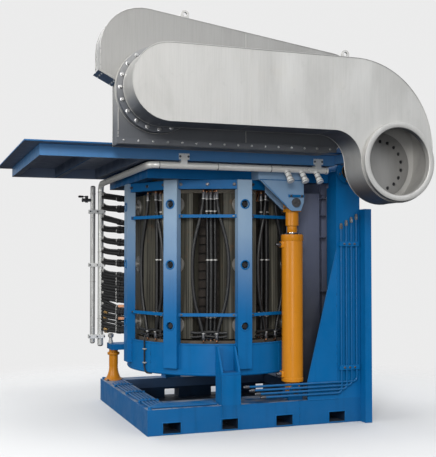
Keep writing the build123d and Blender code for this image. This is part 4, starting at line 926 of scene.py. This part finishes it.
def post_details():
    """The rest post's pad, base ring and bolts, and the knob on the arm over it."""
    x, y = POST_REST
    bm = bmesh.new()
    pad = [(0, 0.048), (0, 0.062), (0.006, 0.066), (0.022, 0.066), (0.028, 0.062), (0.028, 0.048)]
    add_loop(bm, pad, (x, y, 0.5), UP, 40)
    add_loop(bm, [(0, 0.091), (0, 0.098), (0.012, 0.098), (0.016, 0.09)], (x, y, SKID_TOP), UP, 40)
    piece("post_rings", bm, "base", "orange_paint")
    bm = bmesh.new()
    for spot in level_ring((x, y, SKID_TOP), 0.112, 4):
        add_bolt(bm, spot, UP, 0.022, 0.014)
    piece("post_bolts", bm, "base", "dark_steel")
    bm = bmesh.new()
    knob = [(0, 0.024), (0.03, 0.024), (0.036, 0.018), (0.06, 0.018), (0.07, 0.03), (0.095, 0.033)]
    add_turned(bm, knob + [(0.108, 0.022)], (x - 0.035, y - 0.02, 0.6265), UP, 24)
    piece("arm_knob", bm, "furnace", "stainless")


def bearing_details():
    """The bearings' covers, the seam of each housing, and the bolts of both."""
    bm = bmesh.new()
    bolts = bmesh.new()
    x, z = TILT
    cover = [(0, 0.0735), (0, 0.116), (0.006, 0.12), (0.014, 0.12), (0.018, 0.114), (0.018, 0.0735)]
    for side in (-1, 1):
        y = side * (SKID_HALF - 0.02)
        out = (0, side, 0)
        add_loop(bm, cover, (x, y, z), out, 56)
        for px, _, pz in ring_of(TILT, 0.097, y, 6, 0.3):
            add_bolt(bolts, (px, y + side * 0.018, pz), out, 0.017, 0.01)
        for px in (x - 0.1, x + 0.1):
            for dy in (0.03, 0.13):
                add_bolt(bolts, (px, y - side * dy, STANCHION_TOP - 0.001), DOWN, 0.03, 0.018)
        add_bead(bm, [(x - 0.1255, y, z), (x - 0.1255, y - side * 0.16, z)], 0.003, 3)
    piece("bearing_covers", bm, "base", "blue_paint")
    piece("bearing_bolts", bolts, "base", "dark_steel")


def riser_details():
    """Screws on the pipe clamps, and couplings on the pipes at the stanchion."""
    bm = bmesh.new()
    for z in (0.52, 1.692):
        for k in range(3):
            x = RISER_X - OIL_PITCH / 2 - OIL_PITCH * k
            add_bolt(bm, (x, -SKID_HALF - 0.03, z), FRONT, 0.015, 0.009)
    y = -SKID_HALF - 0.015
    for k in range(4):
        place = (RISER_X - OIL_PITCH * k, y, 1.96 - 0.03 * k)
        add_turned(bm, [(-0.035, 0.0165), (0.0, 0.0165), (0.004, 0.0135)], place, UP, 6)
        add_turned(bm, [(0.004, 0.0135), (0.016, 0.0135), (0.02, 0.009)], place, UP, 20)
        end = (-0.134 + 0.055 * k, y, 0.385 - 0.034 * k)
        add_turned(bm, [(-0.004, 0.0165), (0.03, 0.0165), (0.034, 0.0135)], end, RIGHT, 6)
        add_turned(bm, [(-0.022, 0.009), (-0.018, 0.0135), (-0.004, 0.0135)], end, RIGHT, 20)
    piece("pipe_couplings", bm, "base", "dark_steel")


# Hydraulic cylinders
def cylinder_details(name, side):
    """Rings, ports, scraper, rod stem, grease nipple and pin caps of one cylinder."""
    x, y = CYLINDER[0], CYLINDER[1] * side
    r = BARREL_RADIUS
    bm = bmesh.new()
    head = [(0, r - 0.001), (0, r + 0.004), (0.003, r + 0.006), (0.052, r + 0.006), (0.055, r + 0.003)]
    add_loop(bm, head + [(0.055, r - 0.001)], (x, y, BARREL_TOP - 0.06), UP, 56)
    foot = [(0, r - 0.001), (0, r + 0.004), (0.03, r + 0.004), (0.036, r - 0.001)]
    add_loop(bm, foot, (x, y, BARREL_BOTTOM + 0.002), UP, 56)
    for z in PORTS:
        add_box(bm, (x - r - 0.02, y - 0.03, z - 0.03), (x - r + 0.02, y + 0.03, z + 0.03), bevel=0.004)
    piece(f"{name}_barrel_rings", bm, f"{name}_barrel", "orange_paint")
    bm = bmesh.new()
    for spot in level_ring((x, y, BARREL_TOP), 0.0905, 8):
        add_bolt(bm, spot, UP, 0.014, 0.01, False)
    for z in PORTS:
        port = (x - r - 0.02, y, z)
        add_turned(bm, [(0, 0.024), (0.022, 0.024), (0.026, 0.02)], port, LEFT, 6)
        add_turned(bm, [(0.026, 0.018), (0.042, 0.018), (0.046, 0.014)], port, LEFT, 20)
    piece(f"{name}_barrel_fittings", bm, f"{name}_barrel", "dark_steel")
    bm = bmesh.new()
    lip = [(0, 0.0462), (0, 0.07), (0.008, 0.07), (0.012, 0.06), (0.014, 0.0462)]
    add_loop(bm, lip, (x, y, BARREL_TOP), UP, 48)
    piece(f"{name}_scraper", bm, f"{name}_barrel", "hose_rubber")
    bm = bmesh.new()
    stem = [(0, 0.0445), (0, 0.047), (0.003, 0.049), (0.058, 0.049), (0.06, 0.054), (0.066, 0.056)]
    add_loop(bm, stem + [(0.066, 0.0445)], (x, y, STEM_FOOT), UP, 48)
    piece(f"{name}_rod_stem", bm, f"{name}_rod", "orange_paint")
    bm = bmesh.new()
    nipple = [(0, 0.007), (0.006, 0.007), (0.009, 0.004), (0.016, 0.004), (0.019, 0.006), (0.022, 0.003)]
    add_turned(bm, nipple, (x - 0.062, y, 2.03), LEFT, 12)
    piece(f"{name}_grease_nipple", bm, f"{name}_rod", "dark_steel")
    bm = bmesh.new()
    for hand in (-1, 1):
        base = y + hand * 0.083
        out = (0, hand, 0)
        cap = [(0, 0.03), (0.004, 0.031), (0.004, 0.026), (0.007, 0.026)]
        add_turned(bm, cap, (x, base, CYLINDER_FOOT), out, 28)
        for dx in (-0.012, 0.012):
            add_bolt(bm, (x + dx, base + hand * 0.006, CYLINDER_FOOT), out, 0.01, 0.006, False)
    piece(f"{name}_pin_caps", bm, "base", "dark_steel")


def bracket_details():
    """Keeper plates over the rod pins, stiffening ribs and the brackets' welds."""
    ribs = bmesh.new()
    bolts = bmesh.new()
    x, _ = CYLINDER
    for side in (-1, 1):
        face = side * 0.975
        top = face + side * 0.014
        add_box(ribs, (x - 0.08, min(face, top), 2.13), (x + 0.08, max(face, top), 2.154), bevel=0.002)
        add_bead(ribs, [(0.04, face, 2.29), (0.30, face, 2.045)], 0.003, 4)
        add_bead(ribs, [(0.03, face, 2.288), (0.47, face, 2.288)], 0.004, 5)
        for reach, z, across, head in ((0.055, 2.142, 0.016, 0.01), (0.018, 2.08, 0.012, 0.008)):
            for dx in (-reach, reach):
                add_bolt(bolts, (x + dx, top, z), (0, side, 0), across, head)
    piece("bracket_ribs", ribs, "furnace", "blue_paint")
    piece("bracket_bolts", bolts, "furnace", "dark_steel")


# Shell
def cage_details():
    """Rims of the jack holes, the jacks' heads, and the cage's welds and bolts."""
    rings = bmesh.new()
    nuts = bmesh.new()
    heads = bmesh.new()
    rim = [(-0.002, 0.0352), (-0.002, 0.046), (0.003, 0.046), (0.005, 0.0435), (0.005, 0.0352)]
    for k in range(COLUMNS):
        angle = 360.0 / COLUMNS * k
        out = outward(angle)
        for z in JACK_LEVELS:
            add_loop(rings, rim, radial(angle, CAGE_RADIUS, 0, z), out, 36)
            add_bolt(heads, radial(angle, CAGE_RADIUS - 0.036, 0, z), out, 0.046, 0.024)
        for t in (-COLUMN_HALF, COLUMN_HALF):
            ends = [radial(angle, 0.866, t * 1.02, z) for z in (0.54, 0.762)]
            add_bead(rings, ends, 0.005, k)
            for z in (1.015, 1.045, 1.935, 1.965):
                ends = [radial(angle, 0.842, t * 1.03, z), radial(angle, 0.85, t * 1.6, z)]
                add_bead(rings, ends, 0.003, k)
        for z in (2.2885, 0.533):
            ends = [radial(angle, r, -COLUMN_HALF, z) for r in (0.84, 0.912)]
            add_bead(rings, ends, 0.003, 31 + k)
        window = angle + 180.0 / COLUMNS
        for t in (-0.25, 0.0, 0.25):
            add_bolt(nuts, radial(window, 0.8444, t, 2.246), outward(window), 0.022, 0.014)
        for t in (-0.262, 0.262):
            for z in RAIL_LEVELS:
                add_bolt(nuts, radial(window, 0.8384, t * 0.93, z), outward(window), 0.014, 0.008)
    piece("jack_hole_rings", rings, "furnace", "blue_paint")
    piece("cage_bolts", nuts, "furnace", "dark_steel")
    # The jacks' heads take the near-black finish: painted shade inside the jack holes.
    piece("jack_heads", heads, "furnace", "dark_steel", finishes["hollow"])


def drum_details():
    """The drum's rim band, its seams, and the earth cable that is clipped to it."""
    bm = bmesh.new()
    top = [(0, 0.866), (0, 0.874), (0.012, 0.874), (0.014, 0.866)]
    low = [(0, 0.862), (-0.006, 0.866), (0.004, 0.8735), (0.016, 0.8735), (0.018, 0.862)]
    add_loop(bm, top, (SHELL_X, 0, 0.752), UP, 120)
    add_loop(bm, low, (SHELL_X, 0, 0.474), UP, 120)
    for k, angle in enumerate((-152, -63, 8, 117)):
        add_bead(bm, [radial(angle, 0.868, 0, 0.49), radial(angle, 0.868, 0, 0.75)], 0.004, 50 + k)
    piece("drum_bands", bm, "furnace", "blue_paint")
    bm = bmesh.new()
    route = [radial(-157.5, 0.80, 0, 0.85), radial(-157.2, 0.86, 0, 0.83)]
    route += [radial(CABLE_ANGLE, 0.882, 0, z) for z in (0.78, 0.7, 0.6, 0.52)]
    route += [radial(-156, 0.878, 0.01, 0.47), radial(-154, 0.84, 0.02, 0.462)]
    add_pipe(bm, route, 0.0075, 10)
    piece("earth_cable", bm, "furnace", "hose_rubber")
    bm = bmesh.new()
    turn = Matrix.Rotation(math.radians(CABLE_ANGLE + 90), 3, "Z")
    for z in (0.56, 0.69):
        made = add_box(bm, (-0.02, -0.0075, -0.006), (0.02, 0.0075, 0.006), turn, (0, 0, 0), 0.001)
        bmesh.ops.translate(bm, vec=radial(CABLE_ANGLE, 0.882, 0, z), verts=made)
        add_bolt(bm, radial(CABLE_ANGLE, 0.869, 0.018, z), outward(CABLE_ANGLE), 0.01, 0.012, False)
    piece("cable_clips", bm, "furnace", "stainless")


def window_paths(angle):
    """Where the hoses of one window start and end, with their radii."""
    top, low = HOSE_ENDS
    for t, r in ((-0.014, 0.715), (0.022, 0.745), (0.058, 0.723)):
        yield radial(angle, r, t, top), radial(angle, r, t, low), 0.017
    for t in (-0.040, 0.084):
        yield radial(angle, BOW_REACH, t, top), radial(angle, BOW_REACH, t, low), 0.013


def add_hose_end(steel, bright, pipes, end, way, radius):
    """A ferrule with its nut and band, and the short pipe from it to the coil."""
    axis = (0, 0, way)
    ferrule = [(-0.055, radius + 0.001), (-0.053, radius + 0.004), (-0.006, radius + 0.004)]
    add_turned(steel, ferrule + [(-0.004, radius + 0.001)], end, axis, 24)
    add_turned(steel, [(-0.004, radius * 1.25), (0.016, radius * 1.25), (0.02, radius * 1.05)], end, axis, 6)
    add_band(bright, Vector(end) - Vector(axis) * 0.045, axis, radius + 0.003, radius + 0.0055, 0.008, 20)
    x, y, z = end
    inward = (Vector((SHELL_X, 0, z)) - Vector(end)).normalized()
    gone = math.hypot(x - SHELL_X, y) - BRANCH_REACH
    steps = ((0.015, 0.0), (0.03, 0.0), (0.038, 0.02), (0.038, gone * 0.6), (0.0, gone))
    route = [Vector(end) + Vector(axis) * rise + inward * along for rise, along in steps]
    if way > 0:
        route[-1].z = min(route[-1].z, BRANCH_TOP)
    add_pipe(pipes, route, radius * 0.6, 10)


def window_details():
    """Fittings and sleeves of the window hoses, the short pipes that join them to the coil, and clamps."""
    steel = bmesh.new()
    bright = bmesh.new()
    pipes = bmesh.new()
    span = HOSE_ENDS[0] - HOSE_ENDS[1]
    for angle in HOSE_WINDOWS:
        aside = Vector(radial(angle, 0, 1, 0)) - Vector(radial(angle, 0, 0, 0))
        for top, low, radius in window_paths(angle):
            add_hose_end(steel, bright, pipes, top, 1, radius)
            add_hose_end(steel, bright, pipes, low, -1, radius)
            if radius < 0.015:
                continue
            for drop in (0.16, 0.62, 1.16):
                place = Vector(top).lerp(Vector(low), drop / span)
                place += aside * 0.009 * (1 - abs(drop - span / 2) / (span / 2))
                add_band(bright, place, UP, radius - 0.001, radius + 0.0028, 0.014, 24)
    piece("hose_fittings", steel, "furnace", "dark_steel")
    piece("hose_bands", bright, "furnace", "stainless")
    hose_sleeves()
    piece("coil_branches", pipes, "furnace", "copper")


def hose_sleeves():
    """Ribbed sleeves over the bowed hoses."""
    bm = bmesh.new()
    top, low = HOSE_ENDS
    for angle in HOSE_WINDOWS:
        for hand, reach in ((-1, 0.110), (1, 0.118)):
            t0 = 0.022 + hand * 0.062
            bow = [
                (t0, top), (t0 + hand * 0.014, 1.99), (t0 + hand * reach * 0.75, 1.74),
                (t0 + hand * reach, 1.52), (t0 + hand * reach * 0.85, 1.19),
                (t0 + hand * 0.024, 0.94), (t0, low),
            ]
            run = soft_path([radial(angle, BOW_REACH, t, z) for t, z in bow], 7)[2:-2]
            add_pipe(bm, run, 0.0168, 12)
            for k in range(3, len(run) - 2, 5):
                add_band(bm, run[k], run[k + 1] - run[k], 0.0165, 0.0185, 0.012, 16)
    piece("hose_sleeves", bm, "furnace", "hose_rubber")


def low_manifolds():
    """Two wavy hoses across the foot of each window at the front and left."""
    bm = bmesh.new()
    for k, angle in enumerate((-157.5, -112.5, -67.5)):
        for j, (z, r) in enumerate(((0.865, 0.80), (0.825, 0.79))):
            sides = (-0.16, -0.1, -0.03, 0.05, 0.12, 0.18)
            route = [radial(angle, r, t, z + 0.006 * math.sin(27 * t + k + j)) for t in sides]
            add_pipe(bm, route, 0.014 - 0.002 * j, 12)
    piece("low_manifolds", bm, "furnace", "hose_rubber")


def shield_details():
    """Joint strips, rivets and ribs on the bent shield, and the skirt from it to the deck."""
    bm = bmesh.new()
    for z in (*SHIELD_JOINTS, 0.36):
        spots = [radial(a, SHIELD_RADIUS, 0, z) for a in range(-38, 39, 4)]
        add_bead(bm, spots, 0.004, int(z * 100))
    for a in range(-38, 39, 4):
        for z in (0.335, 2.165):
            rivet = [(-0.001, 0.009), (0.003, 0.008), (0.006, 0.004)]
            add_turned(bm, rivet, radial(a, SHIELD_RADIUS, 0, z), outward(a), 12)
    piece("shield_seams", bm, "furnace", "dark_shield")
    bm = bmesh.new()
    for a in (-34, -20, -7, 7, 20, 34):
        add_fin(bm, a, SHIELD_RADIUS - 0.002, RIB_REACH, 0.345, 2.175)
    for z in (0.42, 1.23, *SHIELD_JOINTS):
        add_arc_bar(bm, SHIELD_RADIUS - 0.002, 1.166, z - 0.004, z + 0.004, -39, 39)
    piece("shield_ribs", bm, "furnace", "dark_shield")
    bm = bmesh.new()
    add_arc_bar(bm, 1.1045, 1.1115, 2.14, SKIRT_TOP, -35, 35)
    for a in (-34, -27, -20, -7, 7, 20, 27, 34):
        add_fin(bm, a, SHIELD_RADIUS - 0.010, 1.215 if abs(a) == 27 else RIB_REACH, 2.18, SKIRT_TOP)
    piece("pour_skirt", bm, "furnace", "dark_shield")


# Deck and water pipes
def deck_details():
    """Stiffeners, welds and bolts of the deck's beams, and the screws in its plate."""
    blue = bmesh.new()
    bolts = bmesh.new()
    for x in (-1.9, -1.6, -1.3, -1.0, -0.45, -0.1, 0.25, 0.65):
        add_box(blue, (x - 0.004, DECK_HALF, 2.493), (x + 0.004, 1.21, PLATE_LOW), bevel=0.001)
        add_bolt(bolts, (x + 0.1, DECK_HALF, 2.475), BACK, 0.024, 0.015)
    for side in (-1, 1):
        y = side * (DECK_HALF - 0.001)
        add_bead(blue, [(DECK_LEFT, y, PLATE_LOW), (0.748, y, PLATE_LOW)], 0.003, 7)
    x = DECK_LEFT + 0.001
    add_bead(blue, [(x, -DECK_HALF, PLATE_LOW), (x, DECK_HALF, PLATE_LOW)], 0.003, 8)
    add_bead(blue, [(-1.56, -1.02, 2.4255), (-1.56, 1.02, 2.4255)], 0.003, 6)
    piece("deck_stiffeners", blue, "furnace", "blue_paint")
    piece("deck_bolts", bolts, "furnace", "dark_steel")
    bm = bmesh.new()
    screw = [(0, 0.011), (0.002, 0.011), (0.004, 0.008)]
    for k in range(8):
        for y in (-1.15, 1.15):
            add_turned(bm, screw, (-2.05 + 0.35 * k, y, PLATE_TOP), UP, 16)
    piece("deck_screws", bm, "furnace", "dark_steel")


def pipe_rings():
    """Weld rings round the water pipes and their branches, and the ends of the upright pipes."""
    bm = bmesh.new()
    x, y = HEADER
    for px in (0.662, 0.10, -0.42, -0.965):
        add_band(bm, (px, MAIN_Y, MAIN_Z), RIGHT, MAIN_RADIUS - 0.001, MAIN_RADIUS + 0.003, 0.008, 32)
    rings = [(x, z, MAIN_RADIUS) for z in (0.9, 2.27, 1.62)]
    rings += [(RETURN_X, z, RETURN_RADIUS) for z in (2.25, 1.3)]
    for px, z, radius in rings:
        add_band(bm, (px, y, z), UP, radius - 0.001, radius + 0.003, 0.008, 32)
    add_turned(bm, [(0, 0.031), (0.008, 0.029), (0.016, 0.02), (0.019, 0.008)], (x, y, 0.615), DOWN, 28)
    dome = [(0, 0.027), (0.007, 0.025), (0.014, 0.016), (0.016, 0.006)]
    add_turned(bm, dome, (RETURN_X, y, 0.645), DOWN, 28)
    add_turned(bm, dome, (RETURN_X, y, 2.322), UP, 28)
    lean = Vector((0.18, -0.45, -0.87)).normalized()
    for px in (0.256, 0.405, 0.554):
        start = Vector((px, MAIN_Y, MAIN_Z))
        for along, inner, outer, width in (
            (0.085, 0.0255, 0.029, 0.012), (0.043, 0.0255, 0.0295, 0.006), (0.123, 0.0315, 0.035, 0.008),
        ):
            add_band(bm, start + lean * along, lean, inner, outer, width, 32)
    piece("pipe_rings", bm, "furnace", "stainless")


def clip_bolts():
    """Bolts of the clips on the upright pipes and on the main under the deck."""
    bm = bmesh.new()
    x, y = HEADER
    for z in (0.705, 1.478, 2.056):
        for px in (x + 0.036, (x + RETURN_X) / 2, RETURN_X - 0.036):
            add_bolt(bm, (px, y - 0.042, z), FRONT, 0.012, 0.008)
    for px in (-0.74, 0.575):
        for dx in (-0.038, 0.038):
            add_bolt(bm, (px + dx, -1.09, 2.46), FRONT, 0.014, 0.009)
    piece("clip_bolts", bm, "furnace", "dark_steel")


def ladder_rows():
    """The height and the fall of each hose between the upright pipe and the cage."""
    return [(2.245 - LADDER_PITCH * i, 0.026 + 0.010 * ((i * 5) % 3)) for i in range(LADDER_HOSES)]


def ladder_start(z):
    """Where a hose leaves the upright pipe."""
    return Vector((HEADER[0] + 0.0155, HEADER[1] - 0.027, z))


def hose_clamps():
    """The ladder hoses' nuts and screwed clamps at the upright pipe."""
    bm = bmesh.new()
    for z, drop in ladder_rows():
        start = ladder_start(z)
        way = Vector((0.045, -0.090, -drop / 2)).normalized()
        spot = start + way * 0.030
        add_band(bm, spot, way, 0.0165, 0.0200, 0.013, 28)
        add_turned(bm, [(0.001, 0.021), (0.016, 0.021), (0.018, 0.018)], start + way * 0.004, way, 6)
        low, high = Vector((-0.006, -0.005, 0.018)), Vector((0.006, 0.007, 0.027))
        add_box(bm, spot + low, spot + high, bevel=0.001)
    piece("hose_clamps", bm, "furnace", "stainless")


def low_hoses():
    """The hoses' second and lower rows, and the joints and bands on all of them."""
    low = bmesh.new()
    joints = bmesh.new()
    marks = bmesh.new()
    rows = [(z - 0.030, drop, 0.0195) for z, drop in ladder_rows()]
    rows += [(z, drop, 0.0) for z, drop in ladder_rows()]
    rows += [(1.358 - LADDER_PITCH * i, 0.030, 0.0190) for i in range(3)]
    rows += [(1.326 - LADDER_PITCH * i, 0.034, 0.0190) for i in range(3)]
    rows += [(1.035 - 0.036 * i, 0.022 + 0.008 * (i % 3), 0.0180) for i in range(8)]
    for k, (z, drop, radius) in enumerate(rows):
        level = min(max(z - drop, 0.79), HOSE_ENDS[0])
        for rail in RAIL_LEVELS:
            if abs(level - rail) < 0.046:
                level = rail - 0.05
        start = ladder_start(z)
        end = Vector(radial(157.5, 0.70, 0.012 * (k % 3 - 1), level))
        first = start + Vector((0.045, -0.090, -drop * 0.5))
        run = soft_path([start, first, (end.x - 0.11, end.y + 0.16, level - 0.004), end])
        if radius:
            add_pipe(low, run, radius, 12)
        middle = len(run) // 2
        way = (run[middle + 1] - run[middle - 1]).normalized()
        inner = max(radius, 0.0172) - 0.002
        if k < 2 * LADDER_HOSES or k % 2:
            add_band(joints, run[middle], way, inner, inner + 0.0095, 0.05, 20)
            add_band(joints, run[middle] + way * 0.06, way, inner, inner + 0.006, 0.04, 20)
        if k >= 17 or k % 3 == 0:
            add_band(marks, run[middle] - way * 0.032, way, inner, inner + 0.007, 0.012, 20)
    piece("low_hoses", low, "furnace", "hose_rubber")
    piece("hose_joints", joints, "furnace", "hose_rubber")
    piece("joint_bands", marks, "furnace", "stainless")


def brass_nipples():
    """Hose nipples down the foot of the upright pipe."""
    bm = bmesh.new()
    x, y = HEADER
    nipple = [(0, 0.017), (0.018, 0.017), (0.02, 0.012), (0.05, 0.012)]
    for k in range(10):
        start = (x + 0.03 + 0.012 * (k % 2), y - 0.05 - 0.016 * (k % 3), 1.03 - 0.03 * k)
        add_turned(bm, nipple, start, (0.45, -0.9, -0.1), 6)
    piece("brass_nipples", bm, "furnace", "bush_bronze")


def valve_details():
    """The valve's nuts, and the grip on its lever."""
    bm = bmesh.new()
    x, y, z = RETURN_X - 0.07, HEADER[1], VALVE_Z
    body = [(0, 0.0285), (0.006, 0.031), (0.02, 0.031), (0.026, 0.0285)]
    add_turned(bm, body, (x - 0.013, y, z), RIGHT, 6)
    nut = [(0.0, 0.019), (0.02, 0.019), (0.024, 0.022), (0.034, 0.022), (0.036, 0.017)]
    add_turned(bm, nut, (x - 0.015, y, z), LEFT, 24)
    piece("valve_nuts", bm, "furnace", "dark_steel")
    bm = bmesh.new()
    grip = [(0, 0.008), (0.003, 0.0115), (0.05, 0.0125), (0.055, 0.008)]
    add_turned(bm, grip, (x - 0.034, y, z + 0.037), LEFT, 16)
    piece("lever_grip", bm, "valve_lever", "lever_paint")


# Duct and hood
def duct_details():
    """The duct's welds, the outlet's lip, and the shadowed holes of its flange."""
    bm = bmesh.new()
    shape = duct_outline()
    front, back, top, low = DUCT_FRONT, DUCT_BACK, DUCT_TOP, DUCT_BOTTOM
    add_edge(bm, shape, front, 0.0035, 21)
    add_edge(bm, shape, back, 0.0035, 22)
    for k, x in enumerate((-0.42, 0.32)):
        add_bead(bm, [(x, front, top - 0.003), (x, front, low + 0.003)], 0.0022, 23 + k)
        add_bead(bm, [(x, front, top), (x, back, top)], 0.0025, 25 + k)
        add_bead(bm, [(x, front, low), (x, back, low)], 0.0025, 27 + k)
    piece("duct_seams", bm, "furnace", "stainless")
    bm = bmesh.new()
    x, z = TILT
    lip = [(0, 0.291), (0, 0.341), (-0.005, 0.3385), (-0.0065, 0.332), (-0.0065, 0.300), (-0.004, 0.294)]
    weld = [(0, 0.3405), (0, 0.3455), (0.006, 0.3455), (0.008, 0.3405)]
    add_loop(bm, lip, (x, front - 0.04, z), BACK, 96)
    add_loop(bm, weld, (x, front - 0.009, z), BACK, 96)
    piece("outlet_lip", bm, "furnace", "stainless")
    bm = bmesh.new()
    # Dark discs just behind the flange: painted shade that stands for the dark inside its holes.
    for spot in ring_of(TILT, 0.215, back - 0.0105, 18, math.radians(10)):
        add_turned(bm, [(0, 0.0158), (0.006, 0.0158)], spot, BACK, 20)
    piece("flange_hole_shades", bm, "furnace", "dark_steel", finishes["hollow"])


def swivel_details():
    """The collar's screws in place of the plain bolts, and its welds."""
    bm = bmesh.new()
    for spot in ring_of(DUCT_END, SWIVEL_RADIUS - 0.028, SWIVEL_FRONT, 20):
        add_bolt(bm, spot, FRONT, 0.024, 0.014)
    made = piece("swivel_screws", bm, "furnace", "dark_steel", finishes["bright_steel"])
    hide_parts("swivel_bolts")
    bm = bmesh.new()
    x, z = DUCT_END
    outer = [(0, 0.3575), (0, 0.361), (0.006, 0.3625), (0.012, 0.361), (0.012, 0.3575)]
    inner = [(0, 0.285), (0, 0.297), (0.01, 0.292), (0.016, 0.285)]
    add_loop(bm, outer, (x, HOOD_FRONT - 0.014, z), BACK, 80)
    add_loop(bm, inner, (x, DUCT_BACK + 0.001, z), BACK, 80)
    piece("swivel_weld", bm, "furnace", "stainless")


def hood_seams():
    """Welds of the hood's box, and the canopy's welds, ribs and foot flange."""
    bm = bmesh.new()
    shape = hood_outline()
    add_edge(bm, shape, HOOD_FRONT, 0.0032, 41)
    add_edge(bm, shape, HOOD_BACK, 0.0032, 42)
    add_bead(bm, [(-0.30, HOOD_FRONT, 3.50), (-0.30, HOOD_FRONT, 2.556)], 0.0022, 43)
    add_bead(bm, [(0.30, HOOD_BACK, 3.42), (0.30, HOOD_BACK, 2.51)], 0.0022, 44)
    low, high = CANOPY_LOW, CANOPY_TOP
    x0, x1, y0, y1 = CANOPY
    for x, way in ((x0, -1), (x1, 1)):
        for y in (-0.95, -0.35, 0.25):
            a, b = sorted((x, x + way * 0.03))
            add_box(bm, (a, y - 0.003, low + 0.06), (b, y + 0.003, high - 0.01), bevel=0.0008)
        a, b = sorted((x, x + way * 0.05))
        add_box(bm, (a, y0, low), (b, y1, low + FLANGE), bevel=0.001)
        add_bead(bm, [(x, y0, high), (x, y1, high)], 0.003, 45)
        add_bead(bm, [(x, y1, low), (x, y1, high)], 0.003, 46)
    add_box(bm, (x0, y1, low), (x1, y1 + 0.05, low + FLANGE), bevel=0.001)
    for x in (-0.28, 0.08):
        add_box(bm, (x - 0.003, y1, low + 0.06), (x + 0.003, y1 + 0.03, high - 0.01), bevel=0.0008)
        add_box(bm, (x - 0.003, y0, high), (x + 0.003, y1, high + 0.03), bevel=0.0008)
    add_bead(bm, [(x0, y1, high), (x1, y1, high)], 0.003, 47)
    piece("hood_seams", bm, "hood", "stainless")


def hood_bolts():
    """Bolts along the hood's foot, under its lip and round the canopy's flange."""
    bm = bmesh.new()
    for k in range(16):
        add_bolt(bm, (-1.38 + 0.125 * k, HOOD_FRONT - 0.024, 2.527), FRONT, 0.013, 0.008)
    drop = Vector((HOOD_FOOT_LEFT - HOOD_LEFT, 0, HOOD_LIP[0] - HOOD_LIP[1])).normalized()
    out = Vector((drop.z, 0, -drop.x))
    for y in (-1.43, -1.355, -1.28):
        for along in (0.025, 0.14):
            spot = Vector((HOOD_LEFT, y, HOOD_LIP[1])) + drop * along + out * 0.014
            add_bolt(bm, spot, out, 0.012, 0.008)
    for k in range(9):
        for x in (CANOPY[0] - 0.032, CANOPY[1] + 0.032):
            add_bolt(bm, (x, -1.12 + 0.21 * k, CANOPY_LOW + FLANGE), UP, 0.014, 0.009)
    piece("hood_bolts", bm, "hood", "dark_steel", finishes["bright_steel"])


def lug_weld(body, place, fall):
    """Two welds along the foot of a lifting eye, on a sheet that falls to the right."""
    bm = bmesh.new()
    x, y, z = place
    for dy in (-0.009, 0.009):
        add_bead(bm, [(x - 0.036, y + dy, z + fall), (x + 0.036, y + dy, z - fall)], 0.0035, 60)
    piece(f"{body}_lug_weld", bm, body, "stainless")


# Crucible
def mouth_details():
    """The rammed rim round the mouth, uneven on top and open at the spout."""
    bm = bmesh.new()
    local = random.Random(4)
    steps = 96
    rings = []
    for r, z in ((0.434, 2.5372), (0.452, 2.547), (0.49, 2.55), (0.53, 2.546), (0.56, 2.5372)):
        ring = []
        for i in range(steps):
            a = 2 * math.pi * i / steps
            bump = local.uniform(-0.0025, 0.0025) if z > 2.54 else 0
            reach = r + bump
            ring.append(bm.verts.new((SHELL_X + reach * math.cos(a), reach * math.sin(a), z + bump)))
        rings.append(ring)
    for low, high in zip(rings, rings[1:]):
        for i in range(steps):
            j = (i + 1) % steps
            first = rings[0][i].co
            if abs(first.y) >= 0.15 or first.x <= SHELL_X:
                bm.faces.new((low[i], low[j], high[j], high[i]))
    loose = [v for v in bm.verts if not v.link_faces]
    bmesh.ops.delete(bm, geom=loose, context="VERTS")
    made = piece("mouth_rim", bm, "furnace", "refractory")
    made.modifiers.new("thickness", "SOLIDIFY").thickness = 0.006


bpy.context.scene.view_settings.view_transform = "Standard"
make_stage()
dress_nodes()
pocket_rims()
skid_welds()
pipe_saddles()
post_details()
bearing_details()
riser_details()
cylinder_details("front", -1)
cylinder_details("rear", 1)
bracket_details()
cage_details()
drum_details()
window_details()
low_manifolds()
shield_details()
deck_details()
pipe_rings()
clip_bolts()
hose_clamps()
low_hoses()
brass_nipples()
valve_details()
duct_details()
swivel_details()
hood_seams()
hood_bolts()
lug_weld("hood", (-0.829, -1.355, 3.588), 0.005)
lug_weld("furnace", (0.515, -1.735, DUCT_TOP), 0.0)
mouth_details()
